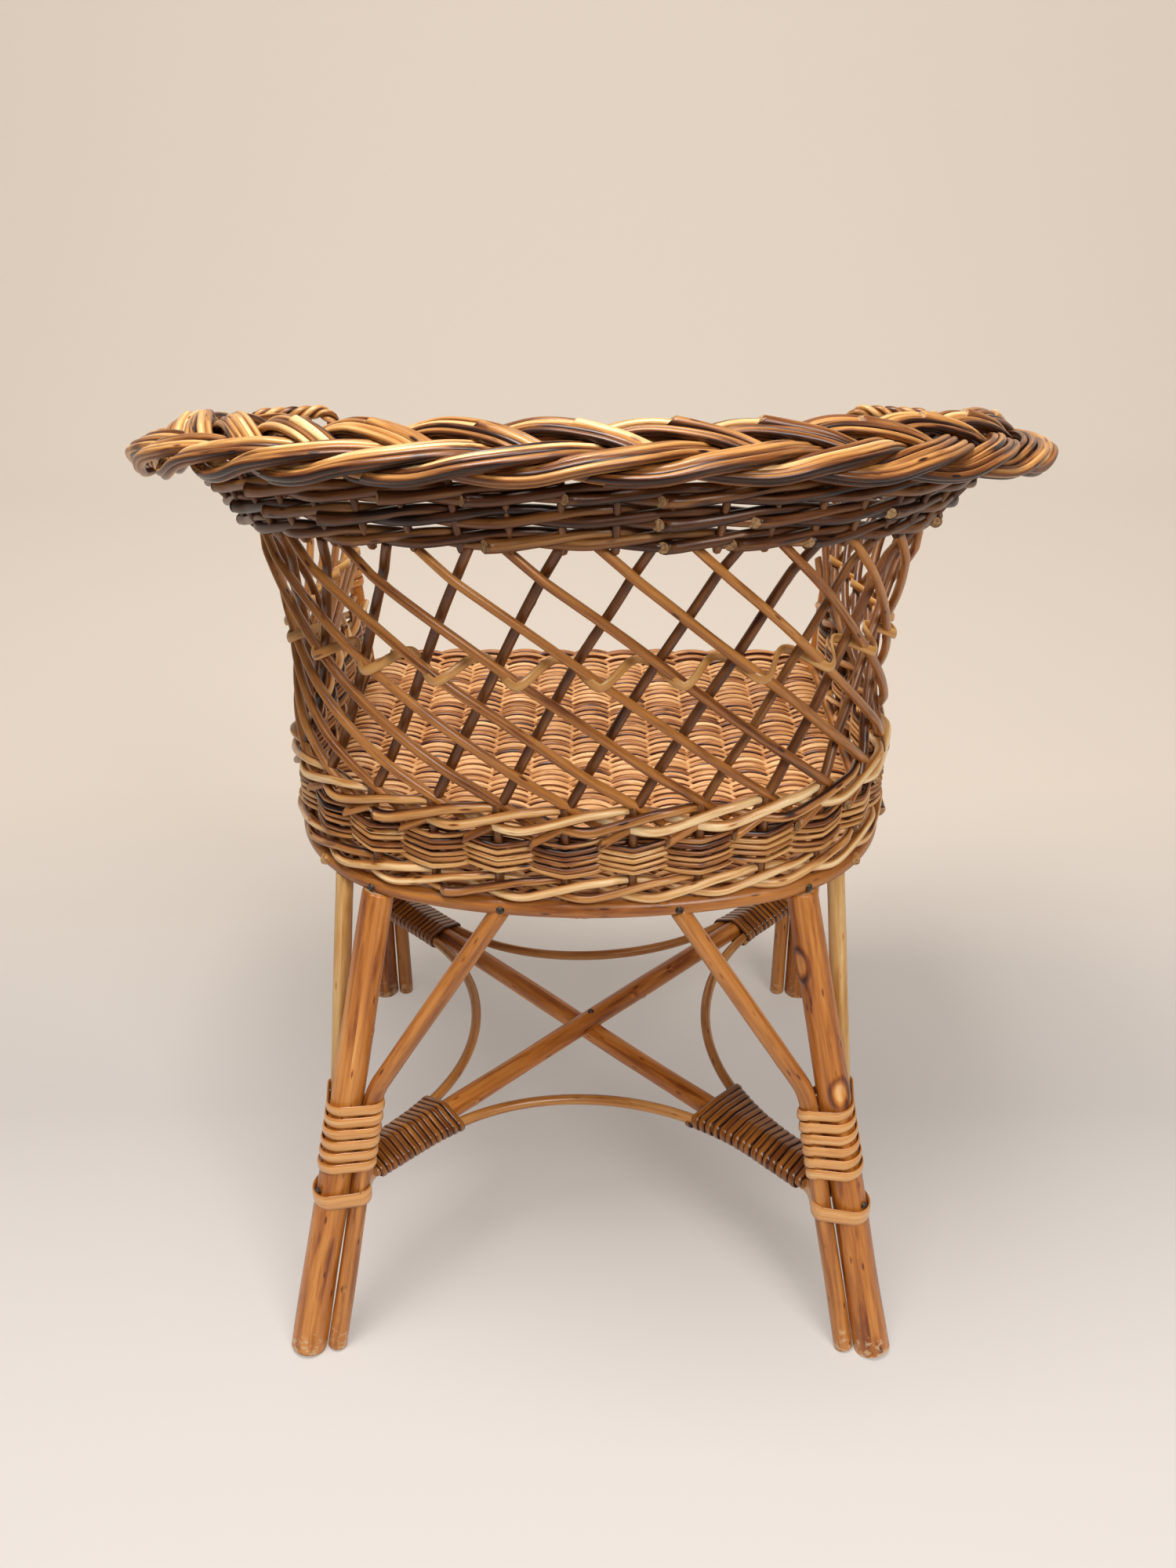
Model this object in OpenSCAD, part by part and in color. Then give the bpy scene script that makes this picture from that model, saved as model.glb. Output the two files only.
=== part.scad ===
// Child's tub armchair of willow poles and woven willow and cane.
// The front of the chair faces -Y, its back faces +Y, the floor is z = 0,
// and the origin is the middle of the chair's footprint.

/* [Overall] */
// Width across the plaited rim
overall_w = 490; // [475:1:510]
// Depth from the front feet to the back of the plaited rim
overall_d = 377; // [360:1:395]
// Height to the top of the plaited rim at the back
overall_h = 541; // [525:1:560]

/* [Seat hoop] */
// Height of the hoop's axis above the floor
seat_h = 288; // [272:1:300]
// Thickness of the bent hoop pole
hoop_d = 9.8; // [8:0.1:12]
// Width across the outside of the hoop
seat_w = 326; // [310:1:336]
// How far the back of the hoop lies inside the back of the rim
hoop_back_in = 48.5; // [42:0.5:56]
// How far the front of the hoop lies behind the front feet
hoop_front_in = 4; // [0:0.5:10]
// Radius of the hoop's middle line across the back
hoop_back_r = 285; // [265:1:320]
// Radius of the hoop's middle line round the two back corners
hoop_corner_r = 100; // [90:1:112]
// Radius of the hoop's middle line round the two front corners
hoop_front_r = 22; // [18:1:30]
// How far the front edge of the woven wall lies behind the front feet
wall_front_in = 27; // [24:0.5:32]

/* [Legs] */
// Thickness of a leg pole at the floor
leg_foot_d = 20.5; // [17:0.1:23]
// Thickness of a leg pole under the hoop
leg_top_d = 16.5; // [13:0.1:19]
// Distance of the back feet from the middle line
foot_back_x = 165; // [155:1:172]
// How far the middle of a back foot lies inside the back of the rim
foot_back_in = 25; // [15:1:40]
// Distance of the front feet from the middle line
foot_front_x = 167; // [160:1:174]
// Distance along the hoop from the middle of the back to a back leg
leg_back_run = 114; // [106:1:120]
// How far a front leg meets the hoop behind the front of the front foot
leg_front_in = 38.5; // [32:0.5:48]

/* [Braces] */
// Thickness of the pole that stands beside a leg and bends up to the hoop
brace_d = 10.2; // [8:0.1:11]
// Thickness of that pole at the floor
brace_foot_d = 10.8; // [8:0.1:11.4]
// Distance from the middle line at which that pole meets the hoop
brace_top_x = 45; // [38:1:60]
// Height at which that pole bends away from its leg
brace_knee_h = 168; // [163:1:180]
// Radius of that bend
brace_bend_r = 45; // [30:1:60]
// Thickness of the short brace on the side of a leg
side_brace_d = 9.6; // [7:0.1:10.5]
// Distance along the hoop from a back leg to its side brace
side_run_back = 26; // [20:1:34]
// Distance along the hoop from a front leg to its side brace
side_run_front = 34; // [26:1:42]

/* [Stretchers] */
// Height of the middle of the crossed stretchers above the floor
stretcher_h = 105; // [98:1:110]
// Thickness of a stretcher pole
stretcher_d = 13; // [11:0.1:13.4]
// How deep the two stretchers are let into each other where they cross
stretcher_lap = 4; // [2:0.5:6]
// Thickness of the four bowed rods between the stretchers
arch_d = 6.4; // [5:0.1:7]
// Distance from the crossing to the middle of the back bow
arch_back_reach = 72; // [62:1:80]
// Distance from the crossing to the middle of the front bow
arch_front_reach = 78; // [66:1:86]
// Distance from the crossing to the middle of a side bow
arch_side_reach = 76; // [66:1:84]

/* [Cane bindings] */
// Thickness of the split cane
cane_t = 1.2; // [0.8:0.1:1.4]
// Slack between the cane and the poles that it binds
cane_slack = 0.7; // [0.3:0.05:0.8]
// Width of the cane round the legs
leg_cane_w = 6; // [4.5:0.1:6.2]
// Rise of the leg binding for each turn
leg_cane_pitch = 6.8; // [6.7:0.05:7]
// Turns of cane round each leg
leg_cane_turns = 6; // [3:1:6]
// Width of the cane round the stretchers
arm_cane_w = 5.3; // [4:0.1:5.4]
// Advance of the stretcher binding for each turn
arm_cane_pitch = 6.15; // [6.1:0.05:6.5]
// Turns of cane on the back left, back right, front left and front right stretcher ends
arm_cane_turns = [10, 13, 10, 11];
// Width of the single collar of cane that slings each stretcher to its leg
collar_w = 8; // [6:0.5:9]

/* [Seat] */
// Number of rods that run from the front to the back of the seat
seat_rod_n = 13; // [9:2:13]
// Spacing of those rods
seat_rod_pitch = 23.5; // [22:0.5:24]
// Thickness of those rods
seat_rod_d = 5; // [4:0.1:5.4]
// Height of those rods above the hoop's axis
seat_rod_rise = 1.5; // [0:0.5:2]
// Thickness of the seat's weave
seat_weave_t = 11.4; // [9:0.2:13]
// Spacing of the woven rows of the seat
seat_row_pitch = 6.6; // [5:0.2:8]

/* [Woven wall] */
// Spacing of the upright stakes round the wall
stake_pitch = 33.2; // [31:0.2:35]
// Thickness of a stake
stake_d = 5; // [4:0.1:5.2]
// Number of stakes on each side of the middle
stake_half_n = 12; // [10:1:12]
// Thickness of the core of the weave, between its outer and inner strands
weave_core = 6.4; // [6.2:0.1:7]
// Rod thickness and number of rows of the lower wale
base_rod_d = 5; // [4:0.1:5.6]
base_rows = 3; // [2:1:4]
// Strand thickness and number of rows of the fine weave
weaver_d = 2.8; // [2.2:0.1:3.2]
weaver_rows = 8; // [5:1:9]
// Rod thickness and number of rows of the wale that closes the wall
top_rod_d = 5.6; // [4.4:0.1:6]
top_rows = 3; // [2:1:4]

/* [Lattice] */
// Thickness of a lattice rod
lattice_d = 5.2; // [4:0.1:5.4]
// Distance between the middle surfaces of the outer and the inner rods
lattice_layer = 6; // [5.8:0.1:6.6]
// Sideways travel of an outer rod at the middle of the back
outer_lean = 175; // [150:1:185]
// Sideways travel of an inner rod at the middle of the back
inner_lean = -72; // [-90:1:-60]
// Share by which the outer rods fan apart towards the top
outer_fan = 0.22; // [0.1:0.01:0.3]
// Share by which the inner rods fan apart towards the top
inner_fan = 0.16; // [0.1:0.01:0.3]
// Half width and back distance of the lattice at its twining row
twine_half_w = 156; // [153:0.5:160]
twine_back_in = 42; // [38:0.5:46]
// Height of the twining row at the sides, as a share of the lattice's height
twine_share = 0.4935; // [0.46:0.005:0.53]
// Half width and back distance of the lattice at its top
lattice_half_w = 170; // [167:0.5:173]
lattice_back_in = 31; // [28:0.5:33]
// Back and corner radii of the lattice at its twining row
twine_back_r = 270; // [260:1:285]
twine_corner_r = 130; // [120:1:138]
// Slope of the twining row up to the back, in degrees
twine_slope = 8.2; // [7:0.1:9]
// Rise of the twining between one outer rod and the next
twine_swing = 6; // [0:0.5:10]
// How far the top of the lattice lies below the rim's middle line at the sides
lattice_drop = 42.2; // [40:0.1:46]
// Back, corner and side radii of the lattice at its top
lattice_back_r = 275; // [262:1:290]
lattice_corner_r = 150; // [140:1:158]
lattice_side_r = 1300; // [1000:10:1600]
// Slope of the top of the lattice up to the back, in degrees
lattice_slope = 11.7; // [11:0.1:12.5]
// Distance along the wall from the foot of an outer rod to the stake and to the inner rod beside it
stake_shift = 4.5; // [4:0.1:5]
inner_shift = 9; // [8.5:0.1:10]

/* [Upper wales] */
// Thickness of the paired rods
wale_rod_d = 4.6; // [4:0.1:4.8]
// Half width of the lowest wale row
wale_half_w = 173.5; // [171:0.5:176]
// Outward step from one row to the next at the sides
wale_step_w = 9.5; // [9:0.5:10.5]
// Rise from one row to the next
wale_step_h = 9; // [8.2:0.1:9.2]
// How far the lowest row lies inside the back of the rim
wale_back_in = 30; // [28:0.5:32]
// Outward step from one row to the next at the back
wale_step_back = 3.5; // [3:0.1:4]
// Back, corner and side radii of the lowest row
wale_back_r = 276; // [265:1:290]
wale_corner_r = 151; // [141:1:160]
wale_side_r = 1000; // [900:10:1200]
// Change of those radii from one row to the next
wale_back_r_step = -5; // [-8:1:-2]
wale_corner_r_step = 10; // [8:1:12]
wale_side_r_step = -200; // [-250:10:-100]
// Slope of the lowest row up to the back and its change from row to row, in degrees
wale_slope = 11.5; // [11:0.1:12]
wale_slope_step = 0.3; // [0:0.1:0.5]

/* [Plaited rim] */
// Width of the plait
rim_w = 50; // [46:0.5:53]
// Thickness of the plait
rim_t = 23.2; // [21:0.2:25]
// Number of strands and width of one strand
strand_n = 5; // [3:2:7]
strand_w = 14.4; // [12:0.2:17]
// Length in which one strand goes once across the plait and back
plait_period = 230; // [200:1:260]
// Back and corner radii of the plait's middle line, as shares of its half width
rim_back_share = 1.105; // [1.07:0.005:1.2]
rim_corner_share = 0.93; // [0.85:0.005:0.96]
// Radius of the plait's middle line along the sides
rim_side_r = 270; // [250:5:320]
// Slope of the rim from the arms up to the back, in degrees
rim_slope = 12.9; // [11.5:0.1:13.5]
// Outward roll of the plait, in degrees
rim_roll = 10; // [0:1:15]

/* [Arm fronts] */
// Thickness of the front post of each arm
post_d = 9.2; // [7:0.1:10]
// Outward lean of the post from the seat to its top
post_lean = 10.5; // [6:0.5:14]
// Width of the cane round the posts
post_cane_w = 6.2; // [5:0.1:6.4]
// Rise of the post binding for each turn
post_cane_pitch = 6.9; // [6.8:0.05:7]
// Turns of cane on each post
post_cane_turns = 12; // [8:1:12]
// Thickness of the rope border over the front of each arm
border_d = 9; // [7:0.2:10]
// How far the border's outer corner lies inside the side of the rim
border_in = 26.4; // [24:0.2:29]
// Height of the top of the rope border below the top of the rim at the back
border_drop = 69.5; // [66:0.5:73]
// Radius of the border's bends
border_bend_r = 9; // [6:0.5:11]
// Fall of the border from the post to its outer corner
border_sink = 3; // [1:0.5:6]
// Length and depth of the border's hook under the plait
border_hook = [24, 30];

/* [Fasteners] */
// Diameter of a nail's head
nail_head_d = 4.2; // [3:0.1:5]
// Height of a nail's head
nail_head_t = 1; // [0.6:0.1:1.4]

/* [Hidden] */

$fn = 40;
// Clearance between pieces that meet
fit = 0.3;
// Distance between the butted lengths of a woven band
butt = 0.04;
// Facets of the long arcs
arc_fn = 72;
// Width and rise in diameter of a growth ring
ring_w = 1.2;
ring_rise = 0.24;
back_y = overall_d/2;
front_y = -overall_d/2;
corner_names = ["back_left", "back_right", "front_left", "front_right"];
corner_x = [1, -1, 1, -1];
corner_y = [1, 1, -1, -1];

// Vectors
function unit(v) = v/norm(v);
function lerp(a, b, t) = a + (b - a)*t;
function flat2(v) = [v[0], v[1]];

// A level is the plan line of the chair at one height: a shallow arc across the back,
// a tighter arc round each back corner and a side that runs to the front, straight where
// its side radius is 0. It lies in a plane that tilts up towards the back.
// [half width, back y, back radius, corner radius, side radius, height at y = 0, tilt, front y]
function level(w, yb, r1, r2, r3, z0, tilt, yf) =
  [w, yb/cos(tilt), r1, r2, r3, z0, tilt, yf/cos(tilt)];
function lv_phi(l) = asin((l[0] - l[3])/(l[2] - l[3]));
function lv_yc(l) = l[1] - l[2] + (l[2] - l[3])*cos(lv_phi(l));
function lv_back(l) = l[2]*lv_phi(l)*PI/180;
function lv_corner(l) = l[3]*(90 - lv_phi(l))*PI/180;
function lv_side_angle(l) = asin((lv_yc(l) - l[7])/l[4]);
function lv_side(l) = l[4] > 0 ? l[4]*lv_side_angle(l)*PI/180 : lv_yc(l) - l[7];
function lv_len(l) = lv_back(l) + lv_corner(l) + lv_side(l);
// Angle of the outward direction from +Y, a length s along the level from its middle
function lv_angle(l, s) = let(a = abs(s), m = s < 0 ? -1 : 1, b = a - lv_back(l), c = b - lv_corner(l))
  m*(b < 0 ? a/l[2]*180/PI
     : c < 0 ? lv_phi(l) + b/l[3]*180/PI
     : l[4] > 0 ? 90 + c/l[4]*180/PI : 90);
function lv_plan(l, s) = let(a = abs(s), m = s < 0 ? -1 : 1, b = a - lv_back(l),
    c = b - lv_corner(l), t = abs(lv_angle(l, s)))
  b < 0 ? [m*l[2]*sin(t), l[1] - l[2] + l[2]*cos(t)]
  : c < 0 ? [m*(l[0] - l[3] + l[3]*sin(t)), lv_yc(l) + l[3]*cos(t)]
  : l[4] > 0 ? [m*(l[0] - l[4] + l[4]*sin(t)), lv_yc(l) + l[4]*cos(t)]
  : [m*l[0], lv_yc(l) - c];
function lv_tilt(l, p, up) = [p[0], p[1]*cos(l[6]) - up*sin(l[6]), l[5] + p[1]*sin(l[6]) + up*cos(l[6])];
function lv_point(l, s, out = 0, up = 0) = let(a = lv_angle(l, s))
  lv_tilt(l, lv_plan(l, s) + out*[sin(a), cos(a)], up);

// Levels, from the hoop up to the rim
hoop_level = level(seat_w/2 - hoop_d/2, back_y - hoop_back_in - hoop_d/2,
  hoop_back_r, hoop_corner_r, 0, seat_h, 0, front_y + hoop_front_in + hoop_d/2 + hoop_front_r);
hoop_front_y = front_y + hoop_front_in + hoop_d/2;
band_front_y = front_y + wall_front_in;
hoop_top_z = seat_h + hoop_d/2;
base_z = hoop_top_z + fit;
weave_z = base_z + base_rows*base_rod_d + fit;
top_z = weave_z + weaver_rows*weaver_d + fit;
wall_top_z = top_z + top_rows*top_rod_d;
function wall_level(z) = level(hoop_level[0], hoop_level[1], hoop_back_r, hoop_corner_r, 0, z, 0,
    band_front_y);

// A strand swings this far across the plait and this far up and down
rim_strand_a = rim_w/2 - strand_w/2;
rim_strand_b = rim_t*0.275;
rim_strand_t = rim_t - 2*rim_strand_b;
// Reach of the six-sided strands beyond the plait's middle line, outwards and upwards
rim_reach = rim_strand_a + strand_w/2*cos(30);
rim_crest = 13;
rim_back_y = back_y - rim_reach;
rim_half_w = overall_w/2 - rim_reach;
rim_z = overall_h - rim_crest - rim_back_y*tan(rim_slope);
rim_level = level(rim_half_w, rim_back_y, rim_back_share*rim_half_w, rim_corner_share*rim_half_w,
  rim_side_r, rim_z, rim_slope, band_front_y);

lattice_head_z = rim_z - lattice_drop;
lattice_foot = wall_level(wall_top_z + lattice_d/2);
lattice_mid = level(twine_half_w, back_y - twine_back_in, twine_back_r, twine_corner_r, 0,
  lerp(wall_top_z, lattice_head_z, twine_share), twine_slope, band_front_y);
lattice_head = level(lattice_half_w, back_y - lattice_back_in, lattice_back_r, lattice_corner_r,
  lattice_side_r, lattice_head_z, lattice_slope, band_front_y);
// The four rods of a wale lie this far from its middle line, as shares of their thickness
wale_side_share = 0.52;
wale_up_share = 0.46;
// A wale ends this far behind the front edge of the wall
wale_front_in = 3;
function wale_level(i) = level(wale_half_w + i*wale_step_w, back_y - wale_back_in + i*wale_step_back,
  wale_back_r + i*wale_back_r_step, wale_corner_r + i*wale_corner_r_step, wale_side_r + i*wale_side_r_step,
  lattice_head_z + lattice_d/2 + (wale_up_share + 0.5)*wale_rod_d + fit + i*wale_step_h,
  wale_slope + i*wale_slope_step, band_front_y + wale_front_in);

// Solids that follow a level: the children are the cross-section, x outwards and y upwards.
// A slit above 0 leaves that much between the arcs, so that each is a length of its own.
module along_level(l, slit = 0) {
  phi = lv_phi(l);
  yc = lv_yc(l);
  gap_back = slit/l[2]*90/PI;
  gap_corner = slit/l[3]*90/PI;
  translate([0, 0, l[5]]) rotate([l[6], 0, 0]) {
    translate([0, l[1] - l[2], 0]) rotate([0, 0, 90 - phi + gap_back])
      rotate_extrude(angle = 2*(phi - gap_back), $fn = arc_fn) translate([l[2], 0]) children();
    for (m = [0, 1]) mirror([m, 0, 0]) {
      translate([l[0] - l[3], yc, 0]) rotate([0, 0, gap_corner])
        rotate_extrude(angle = 90 - phi - 2*gap_corner, $fn = arc_fn) translate([l[3], 0]) children();
      if (l[4] > 0)
        translate([l[0] - l[4], yc, 0]) rotate([0, 0, -lv_side_angle(l)])
          rotate_extrude(angle = lv_side_angle(l) - slit/l[4]*90/PI, $fn = 3*arc_fn)
            translate([l[4], 0]) children();
      else
        translate([l[0], yc - slit/2, 0]) rotate([90, 0, 0]) linear_extrude(yc - slit/2 - l[7]) children();
    }
  }
}

// Straight round pole from a to b
module rod(a, b, d, d_end = undef) {
  v = b - a;
  translate(a) rotate([0, acos(v[2]/norm(v)), atan2(v[1], v[0])])
    cylinder(h = norm(v), d1 = d, d2 = is_undef(d_end) ? d : d_end);
}

// Slight ring that a growing pole has, here where each bend starts and ends
module growth_ring(p, u, d) rod(p - u*ring_w/2, p + u*ring_w/2, d + ring_rise);

// Round pole along the points p, bent to the radius r at each inner point. Its first length
// tapers from d_start.
function bend_half(p, i) = let(u = unit(p[i - 1] - p[i]), v = unit(p[i + 1] - p[i])) acos(u*v)/2;
function bend_cut(p, i, r) = i <= 0 || i >= len(p) - 1 ? 0 : r/tan(bend_half(p, i));
module bent_rod(p, r, d, d_start = undef) {
  for (i = [0 : len(p) - 2]) let(u = unit(p[i + 1] - p[i]), a = p[i] + u*bend_cut(p, i, r),
      b = p[i + 1] - u*bend_cut(p, i + 1, r)) {
    rod(a, b, i == 0 && !is_undef(d_start) ? d_start : d, d);
    if (i > 0) growth_ring(a, u, d);
    if (i < len(p) - 2) growth_ring(b, u, d);
  }
  for (i = [1 : len(p) - 2]) {
    u = unit(p[i - 1] - p[i]);
    v = unit(p[i + 1] - p[i]);
    h = bend_half(p, i);
    c = p[i] + unit(u + v)*r/sin(h);
    x = unit(p[i] + u*r/tan(h) - c);
    z = unit(cross(x, p[i] + v*r/tan(h) - c));
    y = cross(z, x);
    multmatrix([[x[0], y[0], z[0], c[0]], [x[1], y[1], z[1], c[1]], [x[2], y[2], z[2], c[2]]])
      rotate_extrude(angle = 180 - 2*h, $fn = arc_fn) translate([r, 0]) circle(d = d);
  }
}

// Closed skin over a list of rings with the same number of points each
module skin(rings) {
  n = len(rings[0]);
  m = len(rings);
  points = [for (r = rings) each r];
  faces = concat(
    [for (i = [0 : m - 2]) for (j = [0 : n - 1]) let(k = (j + 1)%n)
      each [[i*n + j, (i + 1)*n + j, (i + 1)*n + k], [i*n + j, (i + 1)*n + k, i*n + k]]],
    [for (j = [1 : n - 2]) [0, j, j + 1]],
    [for (j = [1 : n - 2]) [(m - 1)*n, (m - 1)*n + j + 1, (m - 1)*n + j]]);
  polyhedron(points, faces);
}
function travel(p, i) = unit(p[min(i + 1, len(p) - 1)] - p[max(i - 1, 0)]);
// Ring round p across the direction t: a points to its first corner
function oval(p, t, a, ra, rb, n) = let(x = unit(a - t*(a*t)), y = cross(t, x))
  [for (j = [0 : n - 1]) p + x*ra*cos(360*j/n) + y*rb*sin(360*j/n)];
function strip_ring(p, t, a, thick, wide) = let(x = unit(a - t*(a*t))*thick/2, y = unit(cross(t, a))*wide/2)
  [p + x + y, p - x + y, p - x - y, p + x - y];
// Flat strip along the points p whose broad side faces along the directions a
function strip(p, a, thick, wide) =
  [for (i = [0 : len(p) - 1]) strip_ring(p[i], travel(p, i), a[i], thick, wide)];
function tube(p, a, ra, rb, n) = [for (i = [0 : len(p) - 1]) oval(p[i], travel(p, i), a[i], ra, rb, n)];
// Least distance between one turn of a strip and the next, from the corners of all rings
// whose angles a lie 300 to 420 degrees apart
function turn_gap(rings, a) = min([for (i = [0 : len(rings) - 1], j = [i + 1 : 1 : len(rings) - 1])
  if (a[j] - a[i] > 300 && a[j] - a[i] < 420) for (m = [0 : 3],
      n = [0 : 3]) norm(rings[i][m] - rings[j][n])]);

// Of the circles c, each [x, y, radius], the number of the one that reaches farthest towards the angle a
function far_circle(c, a) = let(d = [for (q = c) q[0]*cos(a) + q[1]*sin(a) + q[2]])
  [for (i = [0 : len(c) - 1]) if (d[i] == max(d)) i][0];
// The cane's path is drawn in straight steps of up to wrap_step degrees, which clear the circles
wrap_step = 45;
function hull_point(c, a, off) = let(q = c[far_circle(c, a)], r = (q[2] + off)/cos(wrap_step/2))
  [q[0] + r*cos(a), q[1] + r*sin(a)];
function square_to(h, axis) = unit(h - axis*(h*axis));
// Angles from a0 to a1 at which cane pulled round the circles changes direction: where it
// leaves one circle for the next, and every wrap_step degrees while it stays on one
hull_step = 5;
function wrap_angles(c, a0, a1) = [for (i = [0 : (a1 - a0)/hull_step]) let(a = a0 + i*hull_step,
    f = far_circle(c, a))
  if (i == 0 || a >= a1 || i%(wrap_step/hull_step) == 0 || f != far_circle(c, a - hull_step)) a];
cane_off = cane_slack + cane_t/2;

// Leg k runs from foot_at to head_at, under the hoop
saddle = 0.4;
leg_head_z = seat_h - hoop_d/2 + saddle;
function foot_at(k) = corner_y[k] > 0
  ? [corner_x[k]*foot_back_x, back_y - foot_back_in, 0]
  : [corner_x[k]*foot_front_x, front_y + leg_foot_d/2, 0];
function hoop_run(k, run) = corner_y[k] > 0
  ? lv_point(hoop_level, corner_x[k]*(leg_back_run + run))
  : [corner_x[k]*hoop_level[0], front_y + leg_front_in + run, seat_h];
function head_at(k) = let(p = hoop_run(k, 0)) [p[0], p[1], leg_head_z];
function leg_axis(k) = unit(head_at(k) - foot_at(k));
function leg_at(k, z) = lerp(foot_at(k), head_at(k), z/leg_head_z);
function leg_r(z) = lerp(leg_foot_d, leg_top_d, z/leg_head_z)/2;
leg_taper = (leg_foot_d - leg_top_d)/leg_head_z;
// Length by which a pole is drawn past its end before it is cut off there
over = 9;
// The pole beside leg k stands on its side towards the middle, with this gap between them at
// the floor and at its knee, and turns this far round the leg on its way up
beside_gap_foot = 1.2;
beside_gap = 0.5;
beside_turn = 10;
function beside(k, z) = let(g = lerp(beside_gap_foot, beside_gap, z/brace_knee_h),
    r = leg_r(z) + brace_d/2 + g,
    a = lerp(0, beside_turn, z/brace_knee_h))
  leg_at(k, z) + [-corner_x[k]*r*cos(a), corner_y[k]*r*sin(a), 0];
// Stretchers cross under the seat: the one from back left to front right lies on top
lap_half = (stretcher_d - stretcher_lap)/2;
// The side brace starts this far above the upper stretcher, a little outside its leg's middle
side_foot_rise = 3.5;
side_foot_out = 2;
side_foot_z = stretcher_h + stretcher_d/2 + lap_half + side_foot_rise;
function side_at(k, z) = let(z0 = side_foot_z, r = leg_r(z0) + side_brace_d/2 + beside_gap,
    a = leg_at(k, z0) + [corner_x[k]*side_foot_out, -corner_y[k]*r, 0],
    b = hoop_run(k, corner_y[k] > 0 ? side_run_back : side_run_front))
  lerp(a, [b[0], b[1], leg_head_z], (z - z0)/(leg_head_z - z0));

function stretcher_z(k) = stretcher_h + (k == 0 || k == 3 ? lap_half : -lap_half);
function stretcher_end(k) = let(p = leg_at(k, stretcher_h)) [p[0], p[1], stretcher_z(k)];
function crossing() = let(a = flat2(stretcher_end(0)), b = flat2(stretcher_end(2)),
    y = a[1] + (b[1] - a[1])*a[0]/(a[0] + b[0])) [0, y];
function stretcher_way(k) = unit(concat(crossing() - flat2(stretcher_end(k)), [0]));
// Bows run beside the stretchers inside their bindings and bend from one to the other
bow_off = (stretcher_d + arch_d)/2 + fit;
// They start this far from the leg's middle, clear of the pole beside it
bow_start = leg_foot_d/2 + brace_d + 1.4;
function bow_apex(k, j) = let(b = unit(flat2(stretcher_end(k)) - crossing()),
    c = unit(flat2(stretcher_end(j)) - crossing()),
    h = acos(b*c)/2) crossing() + unit(b + c)*bow_off/sin(h);
function bow_radius(k, j, reach) = let(b = unit(flat2(stretcher_end(k)) - crossing()),
    c = unit(flat2(stretcher_end(j)) - crossing()), h = acos(b*c)/2,
    m = reach - norm(bow_apex(k, j) - crossing())) m*sin(h)/(1 - sin(h));
function bow_end(k, j) = let(w = flat2(stretcher_way(k)), p = flat2(stretcher_end(k)) + w*bow_start,
    s = sign((flat2(stretcher_end(j)) - p)*[-w[1], w[0]])) concat(p + s*bow_off*[-w[1], w[0]],
        [stretcher_z(k)]);
function bow_points(k, j) = [bow_end(k, j), concat(bow_apex(k, j), [stretcher_h]), bow_end(j, k)];
// Sideways distance of a bow from stretcher k, a length t along it from the leg
function bow_side(k, j, reach, t) = let(w = flat2(stretcher_way(k)), r = bow_radius(k, j, reach),
    b = unit(flat2(stretcher_end(k)) - crossing()), c = unit(flat2(stretcher_end(j)) - crossing()),
    h = acos(b*c)/2, centre = bow_apex(k, j) + unit(b + c)*r/sin(h) - flat2(stretcher_end(k)),
    run = centre*w, off = abs(centre*[-w[1], w[0]]))
  t < run ? bow_off : off - sqrt(r*r - (t - run)*(t - run));
// Half the width of the bow where a plane square to stretcher k cuts it
function bow_half(k, j, reach, t) = let(u = (bow_side(k, j, reach, t + 0.5) - bow_side(k, j, reach, t - 0.5)))
  arch_d/2*sqrt(1 + u*u);

// Everything between the floor and the saddles under the hoop
module below_hoop() translate([-overall_w/2, -overall_d/2 - leg_foot_d, 0])
  cube([overall_w, overall_d + 2*leg_foot_d, leg_head_z]);
// The stretch of the hoop over leg k, with clearance: 0 back, 1 corner, 2 side, 3 front
module hoop_seat(k, part) {
  l = hoop_level;
  d = hoop_d + 2*fit;
  if (part == 0)
    translate([0, l[1] - l[2], seat_h]) rotate([0, 0, 60]) rotate_extrude(angle = 60, $fn = arc_fn)
      translate([l[2], 0]) circle(d = d);
  if (part == 1)
    mirror([corner_x[k] > 0 ? 0 : 1, 0, 0]) translate([l[0] - l[3], lv_yc(l), seat_h])
      rotate([0, 0, -5]) rotate_extrude(angle = 95, $fn = arc_fn) translate([l[3], 0]) circle(d = d);
  if (part == 2)
    rod([corner_x[k]*l[0], 0, seat_h], [corner_x[k]*l[0], front_y, seat_h], d);
  if (part == 3)
    rod([-l[0], hoop_front_y, seat_h], [l[0], hoop_front_y, seat_h], d);
}

module leg(k) color("#b5702f") difference() {
  intersection() {
    let(u = unit(head_at(k) - foot_at(k)))
      rod(foot_at(k) - over*u, head_at(k) + over*u, leg_foot_d + over*leg_taper, leg_top_d - over*leg_taper);
    below_hoop();
  }
  hoop_seat(k, corner_y[k] > 0 ? 1 : 2);
}

// Length by which a brace is drawn up into the hoop before it is cut to a saddle
brace_over = 4;
module leg_brace(k) color("#c07c38") difference() {
  intersection() {
    bent_rod([beside(k, 0) - over*unit(beside(k, brace_knee_h) - beside(k, 0)), beside(k, brace_knee_h),
      [corner_x[k]*brace_top_x, corner_y[k] > 0 ? hoop_y_at(brace_top_x) : hoop_front_y,
          leg_head_z + brace_over]],
      brace_bend_r, brace_d, brace_foot_d);
    below_hoop();
  }
  hoop_seat(k, corner_y[k] > 0 ? 0 : 3);
}
function hoop_y_at(x) = hoop_level[1] - hoop_back_r + sqrt(hoop_back_r*hoop_back_r - x*x);

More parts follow.
